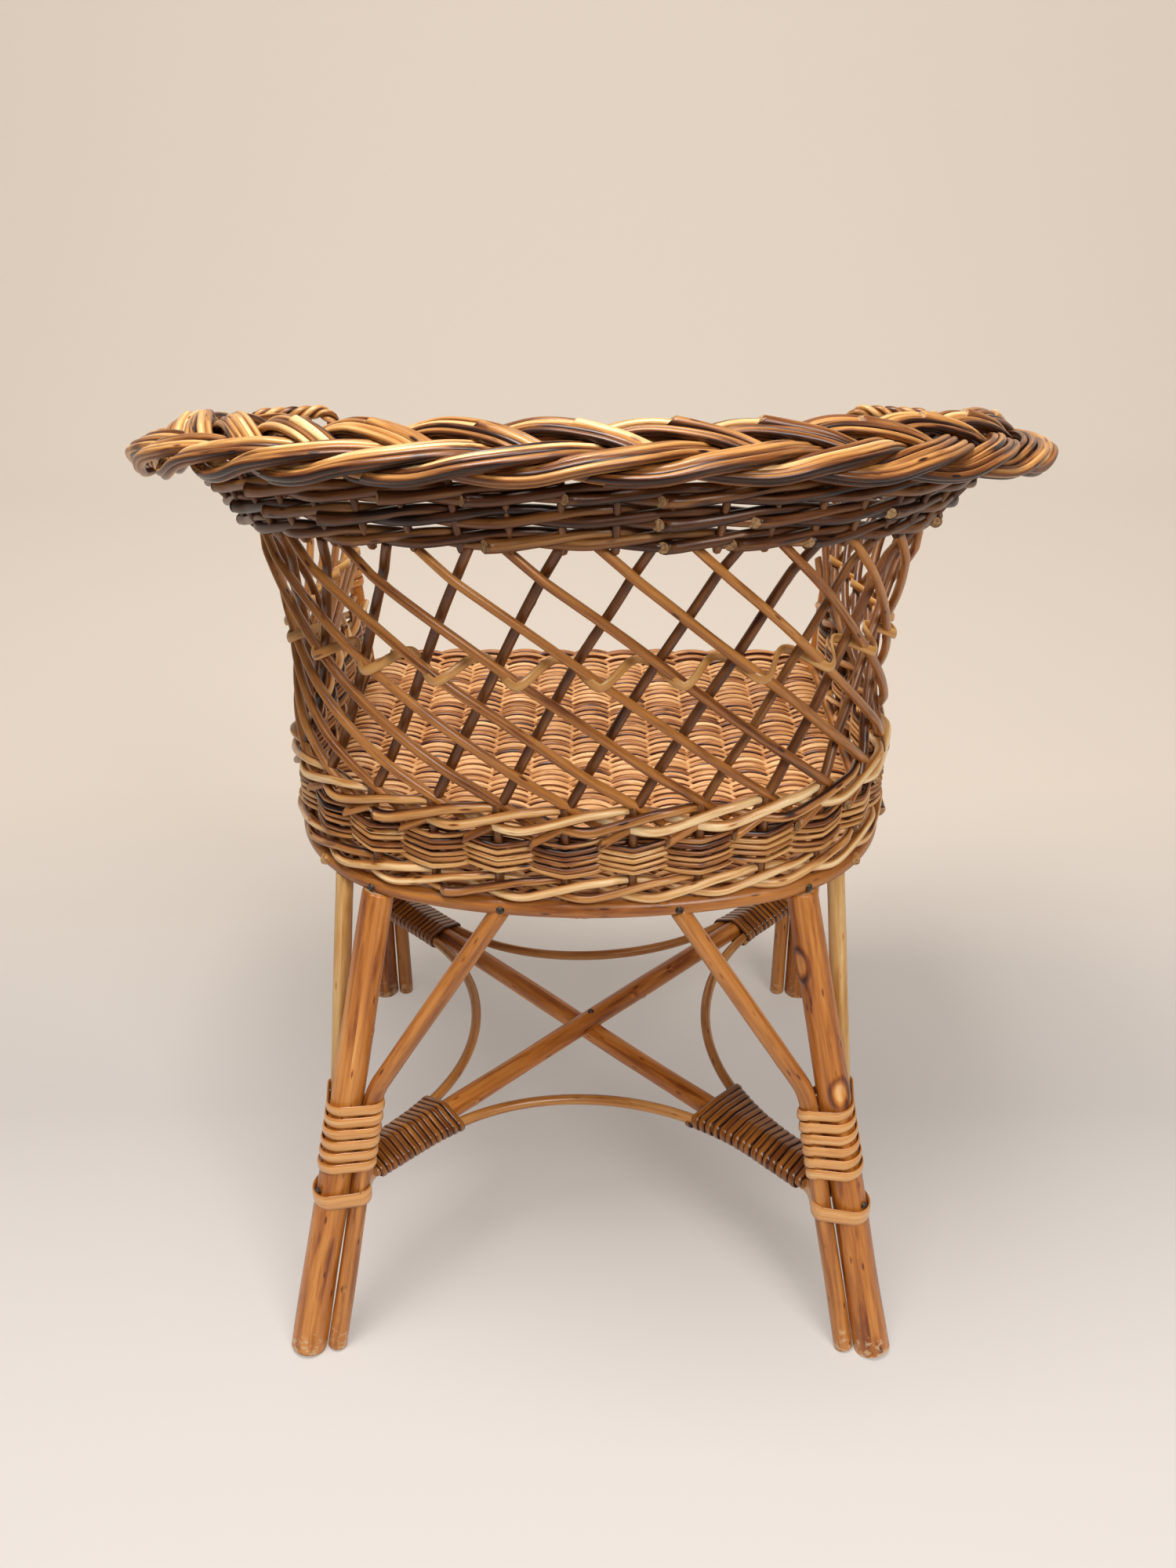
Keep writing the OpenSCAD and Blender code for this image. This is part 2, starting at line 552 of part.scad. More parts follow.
module side_brace(k) color("#d09a5c") difference() {
  intersection() {
    rod(side_at(k, side_foot_z), side_at(k, leg_head_z + over), side_brace_d);
    below_hoop();
  }
  hoop_seat(k, corner_y[k] > 0 ? 1 : 2);
}

module stretcher_pole(k, d) rod(stretcher_end(k), stretcher_end(3 - k), d);
module leg_hole(k) let(u = unit(head_at(k) - foot_at(k)))
  rod(foot_at(k), head_at(k), leg_foot_d + 2*fit, leg_top_d + 2*fit);
module stretcher_upper() color("#a8642c") difference() {
  stretcher_pole(0, stretcher_d);
  leg_hole(0);
  leg_hole(3);
}
module stretcher_lower() color("#a8642c") difference() {
  stretcher_pole(1, stretcher_d);
  leg_hole(1);
  leg_hole(2);
  stretcher_pole(0, stretcher_d + fit);
}

module bow(k, j, reach) color("#b97a3e") bent_rod(bow_points(k, j), bow_radius(k, j, reach), arch_d);

// Cane bindings
leg_cane_z = side_foot_z - 0.5 + leg_cane_w/2;
function leg_circles(k, z) = let(p = leg_at(k, z), b = beside(k, z), s = side_at(k, z))
  [[p[0], p[1], leg_r(z)], [b[0], b[1], brace_d/2], [s[0], s[1], side_brace_d/2]];
module leg_binding(k) {
  a = wrap_angles(leg_circles(k, leg_cane_z + leg_cane_pitch*leg_cane_turns/2), 0, 360*leg_cane_turns);
  p = [for (t = a) let(z = leg_cane_z + leg_cane_pitch*t/360, q = hull_point(leg_circles(k, z), t, cane_off))
    [q[0], q[1], z]];
  rings = strip(p, [for (t = a) square_to([cos(t), sin(t), 0], leg_axis(k))], cane_t, leg_cane_w);
  echo(str("leg binding ", corner_names[k], " least gap ", turn_gap(rings, a)));
  color("#c08a4a") skin(rings);
}

function bow_pair(k) = k == 0 ? [[1, arch_back_reach], [2, arch_side_reach]]
  : k == 1 ? [[0, arch_back_reach], [3, arch_side_reach]]
  : k == 2 ? [[3, arch_front_reach], [0, arch_side_reach]]
  : [[2, arch_front_reach], [1, arch_side_reach]];
function arm_circles(k, t) = let(w = stretcher_way(k), n = [-w[1], w[0], 0])
  concat([[0, 0, stretcher_d/2]], [for (b = bow_pair(k)) let(j = b[0],
      s = sign((stretcher_end(j) - stretcher_end(k))*n))
    [s*bow_side(k, j, b[1], t), bow_drop(k, j, b[1], t), bow_half(k, j, b[1], t)]]);
// A bow sinks or climbs evenly from the height of one stretcher to that of the other
function bow_drop(k, j, reach, t) = (stretcher_z(j) - stretcher_z(k))/2*
  min(1, max(0, (t - bow_start)/norm(bow_points(k, j)[1] - bow_points(k, j)[0])));
module stretcher_binding(k) {
  w = stretcher_way(k);
  n = [-w[1], w[0], 0];
  t0 = bow_start + arm_cane_w/2;
  a = wrap_angles(arm_circles(k, t0 + arm_cane_pitch*arm_cane_turns[k]/2), 0, 360*arm_cane_turns[k]);
  p = [for (g = a) let(t = t0 + arm_cane_pitch*g/360, q = hull_point(arm_circles(k, t), g, cane_off))
    stretcher_end(k) + w*t + n*q[0] + [0, 0, q[1]]];
  rings = strip(p, [for (g = a) n*cos(g) + [0, 0, sin(g)]], cane_t, arm_cane_w);
  echo(str("stretcher binding ", corner_names[k], " least gap ", turn_gap(rings, a)));
  color("#a8743a") skin(rings);
}

// The collar dips this far under the stretcher on its way round the leg, leaves the leg this
// many degrees from the stretcher on its bare side and on the side of the pole beside it, and
// ends this far under the stretcher's binding
collar_drop = 6;
collar_open = [40, 30];
collar_tuck = 3;
module collar(k) {
  w = stretcher_way(k);
  a0 = atan2(w[1], w[0]);
  z = stretcher_z(k);
  side = stretcher_d/2 + cane_off;
  low = z - collar_drop;
  c = [for (i = [0, 1]) leg_circles(k, low)[i]];
  beside_first = corner_x[k] != corner_y[k] ? 1 : 0;
  turn = wrap_angles(c, a0 + collar_open[beside_first], a0 + 360 - collar_open[1 - beside_first]);
  ends = [for (m = [1, -1]) stretcher_end(k) + w*(bow_start - collar_tuck) + m*side*[-w[1], w[0], 0]];
  points = concat([ends[0]], [for (a = turn) let(q = hull_point(c, a, cane_off)) [q[0], q[1], low]],
      [ends[1]]);
  out = concat([[cos(a0 + 90), sin(a0 + 90), 0]], [for (a = turn) square_to([cos(a), sin(a), 0],
      leg_axis(k))],
    [[cos(a0 + 270), sin(a0 + 270), 0]]);
  color("#c08a4a") skin(strip(points, out, cane_t, collar_w));
}

// Seat
module seat_hoop() color("#b87634") {
  l = hoop_level;
  along_level(l) circle(d = hoop_d);
  rod([l[0] - hoop_front_r, hoop_front_y, seat_h], [hoop_front_r - l[0], hoop_front_y, seat_h], hoop_d);
  for (m = [0, 1]) mirror([m, 0, 0]) {
    translate([l[0] - hoop_front_r, l[7], seat_h]) rotate([0, 0, -90])
      rotate_extrude(angle = 90, $fn = arc_fn) translate([hoop_front_r, 0]) circle(d = hoop_d);
    growth_ring([l[0] - hoop_front_r, hoop_front_y, seat_h], [1, 0, 0], hoop_d);
    growth_ring([l[0], l[7], seat_h], [0, 1, 0], hoop_d);
    for (s = [lv_back(l), lv_back(l) + lv_corner(l)]) let(a = lv_angle(l, s))
      growth_ring(lv_point(l, s), [cos(a), -sin(a), 0], hoop_d);
  }
}

// Outline just inside the hoop, as a list of plan points
seat_off = hoop_d/2 + fit;
function seat_outline() = let(l = hoop_level, right = concat(
    [for (a = [0 : 3 : lv_phi(l)]) [(l[2] - seat_off)*sin(a), l[1] - l[2] + (l[2] - seat_off)*cos(a)]],
    [for (a = [lv_phi(l) : 6 : 90]) [l[0] - l[3] + (l[3] - seat_off)*sin(a),
        lv_yc(l) + (l[3] - seat_off)*cos(a)]],
    [for (a = [0 : 15 : 90]) [l[0] - hoop_front_r + (hoop_front_r - seat_off)*cos(a),
      l[7] - (hoop_front_r - seat_off)*sin(a)]]))
  concat(right, [for (i = [len(right) - 1 : -1 : 1]) [-right[i][0], right[i][1]]]);
seat_z = seat_h + seat_rod_rise;
module seat_rods() color("#d9a868") intersection() {
  for (i = [0 : seat_rod_n - 1]) let(x = (i - (seat_rod_n - 1)/2)*seat_rod_pitch)
    rod([x, front_y, seat_z], [x, back_y, seat_z], seat_rod_d);
  translate([0, 0, seat_z - seat_weave_t]) linear_extrude(2*seat_weave_t) polygon(seat_outline());
}
// The woven rows run from side to side: each is a low ridge above and below the rods
seat_ridge = 1;
module seat_weave() color("#e0b07a") {
  rows = floor((lv_plan(hoop_level, 0)[1] - hoop_front_y)/seat_row_pitch) + 1;
  crest = seat_weave_t/2;
  dip = crest - seat_ridge;
  top = [for (i = [0 : rows - 1]) let(y = hoop_front_y + i*seat_row_pitch)
    each [[y, dip], [y + 0.3*seat_row_pitch, crest], [y + 0.7*seat_row_pitch, crest]]];
  low = [for (i = [len(top) - 1 : -1 : 0]) [top[i][0], -top[i][1]]];
  difference() {
    intersection() {
      translate([0, 0, seat_z - seat_weave_t]) linear_extrude(2*seat_weave_t) polygon(seat_outline());
      translate([-seat_w/2, 0, seat_z]) rotate([90, 0, 90]) linear_extrude(seat_w) polygon(concat(top, low));
    }
    for (i = [0 : seat_rod_n - 1]) let(x = (i - (seat_rod_n - 1)/2)*seat_rod_pitch)
      rod([x, front_y, seat_z], [x, back_y, seat_z], seat_rod_d + fit);
  }
}

// Woven wall: a core pierced by the stakes, with rows of strands on both faces
function stake_s(i) = stake_pitch*(i + 0.5);
module stakes(z0, z1, d) for (i = [-stake_half_n : stake_half_n - 1]) let(s = stake_s(i) - stake_shift)
  if (abs(s) < foot_end) let(p = lv_plan(hoop_level, s))
    translate([p[0], p[1], z0]) cylinder(h = z1 - z0, d = d);
module wall_stakes() color("#8a5528") stakes(base_z, wall_top_z, stake_d);
module woven_band(z, rows, d, facets) difference() {
  along_level(wall_level(z), butt) union() {
    translate([-weave_core/2, 0]) square([weave_core, rows*d]);
    for (i = [0 : rows - 1]) for (x = [-1, 1])
      translate([x*(weave_core/2 - 0.1*d), (i + 0.5)*d]) circle(d = 0.96*d, $fn = facets);
  }
  stakes(z - stake_d, z + rows*d + stake_d, stake_d + fit);
}
module wall_base_wale() color("#b58046") woven_band(base_z, base_rows, base_rod_d, 24);
module wall_weave() color("#c9905a") woven_band(weave_z, weaver_rows, weaver_d, 12);
module wall_top_wale() color("#b58046") woven_band(top_z, top_rows, top_rod_d, 24);

// Lattice: a surface through three levels, on which each rod is a straight line when unrolled
function lattice_at(s, t) = let(a = lv_point(lattice_foot, s), b = lv_point(lattice_mid, s),
    c = lv_point(lattice_head, s))
  a*(1 - t)*(1 - 2*t) + b*4*t*(1 - t) + c*t*(2*t - 1);
function lattice_out(s, t) = unit(cross(lattice_at(s, t + 0.02) - lattice_at(s, t - 0.02),
  lattice_at(s + 1, t) - lattice_at(s - 1, t)));
foot_end = lv_len(lattice_foot) - 1.5*lattice_d;
head_end = lv_len(lattice_head) - 1.5*lattice_d;
function cross_t(s, lean, side) = (side*foot_end - s)/(lean - side*(head_end - foot_end));
function rod_span(s, lean) = [max(0, lean > 0 ? cross_t(s, lean, -1) : cross_t(s, lean, 1)),
  min(1, lean > 0 ? cross_t(s, lean, 1) : cross_t(s, lean, -1))];
// Shorter stretches of a rod at the front edges are left out
least_span = 0.22;
rod_rings = 8;
module lattice_rod(s, lean, off) {
  span = rod_span(s, lean);
  if (span[1] - span[0] > least_span) {
    ts = [for (i = [0 : rod_rings - 1]) lerp(span[0], span[1], i/(rod_rings - 1))];
    out = [for (t = ts) lattice_out(s + lean*t, t)];
    p = [for (i = [0 : rod_rings - 1]) lattice_at(s + lean*ts[i], ts[i]) + off*out[i]];
    skin(tube(p, out, lattice_d/2, lattice_d/2, 6));
  }
}
function outer_s(i) = stake_s(i);
function outer_travel(i) = outer_fan*outer_s(i) + outer_lean;
function inner_s(i) = stake_s(i) - inner_shift;
function inner_travel(i) = inner_fan*inner_s(i) + inner_lean;
module lattice_outer_rods() color("#b9763a") for (i = [-stake_half_n - 3 : stake_half_n - 1])
  lattice_rod(outer_s(i), outer_travel(i), lattice_layer/2);
module lattice_inner_rods() color("#8f5527") for (i = [-stake_half_n : stake_half_n])
  lattice_rod(inner_s(i), inner_travel(i), -lattice_layer/2);
// A flat skein zigzags along the outside, low on each outer rod and high between two
module lattice_twining() {
  stops = [for (i = [-stake_half_n - 1 : stake_half_n - 4]) outer_s(i) + outer_travel(i)/2];
  low_off = lattice_layer/2 + lattice_d/2 + cane_t/2 + 2*fit;
  points = [for (i = [0 : len(stops) - 1]) each concat(
    [[stops[i], 0]], i < len(stops) - 1 ? [[(stops[i] + stops[i + 1])/2, twine_swing]] : [])];
  p = [for (q = points) lattice_at(q[0], 0.5) + low_off*lattice_out(q[0], 0.5) + [0, 0, q[1]]];
  color("#c08a4a") skin(strip(p, [for (q = points) lattice_out(q[0], 0.5)], cane_t, 5));
}

// Upper wales: pairs of rods outside and inside a core that holds the stakes' tips
module upper_wale(i) color("#9a6432") {
  along_level(wale_level(i), butt) union() {
    square([wale_rod_d, 1.7*wale_rod_d], center = true);
    for (x = [-1, 1], y = [-1, 1])
      translate([x*wale_side_share, y*wale_up_share]*wale_rod_d) circle(d = wale_rod_d, $fn = 24);
  }
}

// Rings of a strand in one period
rim_rings = 14;
// Strands plaited flat round the rim: each runs over the others from an edge to the middle and
// under them from there to the other edge
module rim_plait() color("#a87040") difference() {
  n = round(2*lv_len(rim_level)/plait_period*rim_rings);
  union() for (k = [0 : strand_n - 1]) {
    frames = [for (i = [0 : n]) let(s = lerp(-1, 1, i/n)*lv_len(rim_level), q = 360*(s/plait_period + k/strand_n),
        a = lv_angle(rim_level, s), out = [sin(a), cos(a), 0],
        across = out*cos(rim_roll) - [0, 0, sin(rim_roll)], up = out*sin(rim_roll) + [0, 0, cos(rim_roll)])
      [lv_point(rim_level, s) + rim_strand_a*sin(q)*across + rim_strand_b*sin(2*q)*up, up]];
    skin(tube([for (f = frames) f[0]], [for (f = frames) f[1]], rim_strand_t/2, strand_w/2, 6));
  }
  translate([-overall_w/2, rim_front_y - rim_w, 0]) cube([overall_w, rim_w, overall_h]);
}

// Arm fronts
rim_front_y = band_front_y - 1.5;
// The post stands clear of the wall's front edge, a little inside the hoop's middle line
post_clear = 0.7;
post_in = 1.5;
// Its head stands this far below the border's top length, its binding ends below the head
post_drop = 30;
post_bare = 4;
border_z = overall_h - border_drop - border_d/2;
post_y = band_front_y - post_d/2 - cane_off - cane_t/2 - post_clear;
post_foot = [hoop_level[0] - post_in, post_y, hoop_top_z + fit/3];
post_head = [post_foot[0] + post_lean, post_y, border_z - post_drop];
function post_at(z) = lerp(post_foot, post_head, (z - post_foot[2])/(post_head[2] - post_foot[2]));
module arm_post() color("#a8642c") intersection() {
  let(u = unit(post_head - post_foot)) rod(post_foot - post_d*u, post_head + post_d*u, post_d);
  translate([0, -overall_d, post_foot[2]]) cube([overall_w, overall_d, post_head[2] - post_foot[2]]);
}
post_turn_n = 7;
module post_binding() {
  z0 = post_head[2] - post_cane_turns*post_cane_pitch - post_bare;
  a = [for (i = [0 : post_turn_n*post_cane_turns]) 360*i/post_turn_n];
  out = [for (t = a) square_to([cos(t), sin(t), 0], unit(post_head - post_foot))];
  reach = (post_d/2 + cane_off)/cos(180/post_turn_n);
  p = [for (i = [0 : len(a) - 1]) post_at(z0 + post_cane_pitch*a[i]/360) + reach*out[i]];
  rings = strip(p, out, cane_t, post_cane_w);
  echo(str("post binding least gap ", turn_gap(rings, a)));
  color("#c98d4e") skin(rings);
}
module arm_border() color("#b07a44") {
  x0 = post_head[0] - post_in;
  x1 = overall_w/2 - border_in;
  z1 = border_z;
  bent_rod([[x0, post_y, post_head[2] + fit], [x0, post_y, z1], [x1, post_y, z1 - border_sink],
    [x1, post_y, z1 - border_hook[1]], [x1 - border_hook[0], post_y, z1 - border_hook[1] - border_sink]],
    border_bend_r, border_d);
}

// Nails: the heads seat on the poles that they fix. Those of the stretchers stand between the
// collar and the leg's binding, clear of the tapered leg.
nail_above = 1.2;
leg_nail_gap = 0.9;
module nail(p, out) let(u = unit(out)) rod(p, p + u*nail_head_t, nail_head_d, 0.7*nail_head_d);
module nails() color("#3a3a3a") {
  for (k = [0 : 3]) let(w = stretcher_way(k), p = leg_at(k, stretcher_z(k) + nail_above))
    nail(p - w*(leg_r(stretcher_h) + leg_nail_gap), -w);
  nail(concat(crossing(), [stretcher_h + lap_half + stretcher_d/2 + fit/3]), [0, 0, 1]);
  for (m = [-1, 1]) {
    nail([m*brace_top_x, hoop_y_at(brace_top_x) + hoop_d/2 + fit, seat_h], [0, 1, 0]);
    nail([m*brace_top_x, hoop_front_y - hoop_d/2 - fit, seat_h], [0, -1, 0]);
    let(a = lv_angle(hoop_level, m*leg_back_run))
      nail(lv_point(hoop_level, m*leg_back_run, hoop_d/2 + fit), [sin(a), cos(a), 0]);
    nail([m*(hoop_level[0] + hoop_d/2 + fit), front_y + leg_front_in, seat_h], [m, 0, 0]);
  }
}

leg(0);  // leg_back_left
leg(1);  // leg_back_right
leg(2);  // leg_front_left
leg(3);  // leg_front_right
leg_brace(0);  // brace_back_left
leg_brace(1);  // brace_back_right
leg_brace(2);  // brace_front_left
leg_brace(3);  // brace_front_right
side_brace(0);  // side_brace_back_left
mirror([1, 0, 0]) side_brace(0);  // side_brace_back_right
side_brace(2);  // side_brace_front_left
side_brace(3);  // side_brace_front_right
stretcher_upper();
stretcher_lower();
bow(0, 1, arch_back_reach);  // bow_back
bow(2, 3, arch_front_reach);  // bow_front
bow(0, 2, arch_side_reach);  // bow_left
bow(1, 3, arch_side_reach);  // bow_right
leg_binding(0);  // leg_binding_back_left
leg_binding(1);  // leg_binding_back_right
leg_binding(2);  // leg_binding_front_left
leg_binding(3);  // leg_binding_front_right
stretcher_binding(0);  // stretcher_binding_back_left
stretcher_binding(1);  // stretcher_binding_back_right
stretcher_binding(2);  // stretcher_binding_front_left
stretcher_binding(3);  // stretcher_binding_front_right
collar(0);  // collar_back_left
collar(1);  // collar_back_right
collar(2);  // collar_front_left
collar(3);  // collar_front_right
seat_hoop();
seat_rods();
seat_weave();
wall_stakes();
wall_base_wale();
wall_weave();
wall_top_wale();
lattice_outer_rods();
lattice_inner_rods();
lattice_twining();
upper_wale(0);  // upper_wale_lower
upper_wale(1);  // upper_wale_middle
upper_wale(2);  // upper_wale_top
rim_plait();
arm_post();  // arm_post_left
mirror([1, 0, 0]) arm_post();  // arm_post_right
post_binding();  // post_binding_left
mirror([1, 0, 0]) post_binding();  // post_binding_right
arm_border();  // arm_border_left
mirror([1, 0, 0]) arm_border();  // arm_border_right
nails();
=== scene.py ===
# Child's tub armchair of willow poles and woven willow and cane.
# Lengths are in millimetres until a mesh is made. The back of the chair faces +Y.
import math

import bpy
import numpy as np
from mathutils import Matrix
from numpy.random import default_rng


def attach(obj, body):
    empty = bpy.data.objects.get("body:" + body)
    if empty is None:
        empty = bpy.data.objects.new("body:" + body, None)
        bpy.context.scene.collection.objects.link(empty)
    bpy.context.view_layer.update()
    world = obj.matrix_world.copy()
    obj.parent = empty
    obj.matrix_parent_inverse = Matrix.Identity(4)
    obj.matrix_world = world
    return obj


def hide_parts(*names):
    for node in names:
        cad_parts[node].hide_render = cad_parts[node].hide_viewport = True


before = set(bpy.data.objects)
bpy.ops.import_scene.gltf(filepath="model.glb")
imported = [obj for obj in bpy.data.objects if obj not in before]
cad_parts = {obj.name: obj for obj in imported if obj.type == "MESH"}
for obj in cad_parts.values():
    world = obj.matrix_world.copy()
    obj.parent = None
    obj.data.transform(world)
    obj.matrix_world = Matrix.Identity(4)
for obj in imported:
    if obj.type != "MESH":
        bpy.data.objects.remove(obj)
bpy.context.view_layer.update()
MM = 0.001


# Camera and light
# The camera stands behind the chair, above the height of its back, and looks down over the rim.
# One broad lamp hangs overhead and a weaker one stands behind the camera.
def aimed(eye, pitch, yaw, roll):
    """Turns an object so that its -Z looks along -Y, pitched down, with +X to the picture's right."""
    p, w, r = np.radians([pitch, yaw, roll])
    ahead = np.array([np.sin(w) * np.cos(p), -np.cos(w) * np.cos(p), -np.sin(p)])
    right = np.array([-np.cos(w), -np.sin(w), 0.0])
    up = np.cross(right, ahead)
    side, top = np.cos(r) * right + np.sin(r) * up, -np.sin(r) * right + np.cos(r) * up
    turn = Matrix([list(row) for row in np.stack([side, top, -ahead], 1)])
    return Matrix.Translation([c * MM for c in eye]) @ turn.to_4x4()


lens = bpy.data.cameras.new("camera")
lens.lens = 30.6
camera = bpy.data.objects.new("camera", lens)
bpy.context.collection.objects.link(camera)
camera.matrix_world = aimed((-2.1, 696.15, 661.3), 28.3, 0.3, -0.1)
bpy.context.scene.camera = camera
bpy.context.scene.view_settings.view_transform = "Standard"


def area_lamp(name, place, target, size, watts, colour):
    """A square lamp of that size in metres, aimed at the target."""
    data = bpy.data.lights.new(name, "AREA")
    data.size, data.energy, data.color = size, watts, colour
    lamp = bpy.data.objects.new(name, data)
    bpy.context.collection.objects.link(lamp)
    ahead = np.array(target, float) - np.array(place, float)
    ahead /= np.linalg.norm(ahead)
    side = np.cross(ahead, [0.0, 1.0, 0.0] if abs(ahead[2]) > 0.9 else [0.0, 0.0, 1.0])
    side /= np.linalg.norm(side)
    turn = Matrix([list(row) for row in np.stack([side, np.cross(side, ahead), -ahead], 1)])
    lamp.matrix_world = Matrix.Translation(place) @ turn.to_4x4()


area_lamp("overhead lamp", (0.3, 0.4, 2.1), (0, 0, 0.25), 0.8, 39, (1, 0.985, 0.96))
area_lamp("lamp behind the camera", (-0.8, 1.6, 1.8), (0, 0, 0.3), 0.8, 26, (1, 0.985, 0.96))
world = bpy.data.worlds.new("studio")
world.use_nodes = True
world.node_tree.nodes["Background"].inputs["Color"].default_value = (1, 0.985, 0.965, 1)
world.node_tree.nodes["Background"].inputs["Strength"].default_value = 0.17
bpy.context.scene.world = world


# Floor
# A plain sheet, greyer in a band across the floor under the chair, which is painted shade, and pale beige
# where it runs up the wall behind.
def linear(code):
    """Linear colour of an sRGB hex code."""
    c = np.array([int(code[i:i + 2], 16) for i in (0, 2, 4)]) / 255
    c = np.where(c <= 0.04045, c / 12.92, ((c + 0.055) / 1.055) ** 2.4)
    return (*[float(v) for v in c], 1.0)


class Graph:
    """A material's nodes: add() makes one, and each keyword sets a socket or links to it."""

    def __init__(self, name):
        self.material = bpy.data.materials.new(name)
        self.material.use_nodes = True
        self.tree = self.material.node_tree
        self.tree.nodes.clear()

    def add(self, kind, settings=(), **sockets):
        n = self.tree.nodes.new("ShaderNode" + kind)
        for key, value in dict(settings).items():
            setattr(n, key, value)
        for key, value in sockets.items():
            place = n.inputs[int(key[1:]) if key[1:].isdigit() else key.replace("_", " ")]
            if hasattr(value, "links"):
                self.tree.links.new(value, place)
            else:
                place.default_value = value
        return n.outputs

    def ramp(self, factor, stops):
        n = self.tree.nodes.new("ShaderNodeValToRGB")
        self.tree.links.new(factor, n.inputs[0])
        for i, (at, colour) in enumerate(stops):
            e = n.color_ramp.elements[i] if i < 2 else n.color_ramp.elements.new(at)
            e.position, e.color = at, colour
        return n.outputs[0]

    def math(self, what, *values):
        return self.add("Math", [("operation", what)], **{f"i{i}": v for i, v in enumerate(values)})[0]

    def span(self, *values):
        """Maps a value from one range, the next two, onto another, the last two."""
        return self.add("MapRange", **{f"i{i}": v for i, v in enumerate(values)})[0]

    def noise(self, where, scale, detail, **more):
        return self.add("TexNoise", Vector=where, Scale=scale, Detail=detail, **more)[0]

    def bump(self, height, strength, distance):
        return self.add("Bump", Height=height, Strength=strength, Distance=distance)[0]

    def shader(self, **sockets):
        out = self.add("BsdfPrincipled", **sockets)[0]
        self.add("OutputMaterial", Surface=out)
        return self.material


def sheet_material():
    g = Graph("backdrop paper")
    where = g.add("TexCoord")["Object"]
    y = g.add("SeparateXYZ", i0=where)[1]
    fade = g.add("MapRange", [("interpolation_type", "SMOOTHSTEP")], i0=y, i1=-1.9, i2=0.35)[0]

    def shades(*codes):
        return g.ramp(fade, zip((0.0, 0.66, 0.92, 1.0), map(linear, codes)))

    relief = g.bump(g.noise(where, 180.0, 3.0), 0.05, 0.0005)
    # both ramps are greyest near 0.92, which falls under the chair: painted shade across the floor there
    paper = g.add("BsdfPrincipled", Base_Color=shades("fff0e0", "e6d7c7", "c4bdb8", "d4cdc8"),
                  Roughness=0.9, Specular_IOR_Level=0.1, Normal=relief)[0]
    # seen by the camera, four tenths of the paper's light is its own, so that the shadow stays pale
    glow = g.add("Emission", Strength=1.0, Color=shades("f8e9d9", "efe0d1", "d6cec6", "f2eae2"))[0]
    ray = g.add("LightPath")
    seen = ray["Is Camera Ray"]
    for kind in ("Is Glossy Ray", "Is Transmission Ray"):
        seen = g.math("MAXIMUM", seen, ray[kind])
    share = g.math("MULTIPLY", seen, 0.4)
    g.add("OutputMaterial", Surface=g.add("MixShader", i0=share, i1=paper, i2=glow)[0])
    return g.material


def backdrop():
    """A profile that runs along the floor and curls up behind the front of the chair."""
    turn = np.linspace(0, math.pi / 2, 24)
    y = np.r_[3.0, -1.6 - 0.9 * np.sin(turn), -2.5]
    z = np.r_[0.0, 0.9 - 0.9 * np.cos(turn), 4.0]
    half = 5.0
    verts = np.concatenate([np.stack([np.full_like(y, x), y, z], 1) for x in (half, -half)])
    n = len(y)
    mesh = bpy.data.meshes.new("backdrop")
    mesh.from_pydata(verts.tolist(), [], [(i, i + 1, n + i + 1, n + i) for i in range(n - 1)])
    mesh.shade_smooth()
    mesh.materials.append(sheet_material())
    sheet = bpy.data.objects.new("backdrop", mesh)
    bpy.context.collection.objects.link(sheet)


backdrop()


# Legs
# Four peeled and varnished willow poles, thicker at the floor, with the scars of side shoots and
# worn, paler feet. Each leans in and is nailed under the bent hoop of the seat.
def unit(v):
    return v / np.linalg.norm(v, axis=-1, keepdims=True)


def lerp(a, b, t):
    return a + (b - a) * t


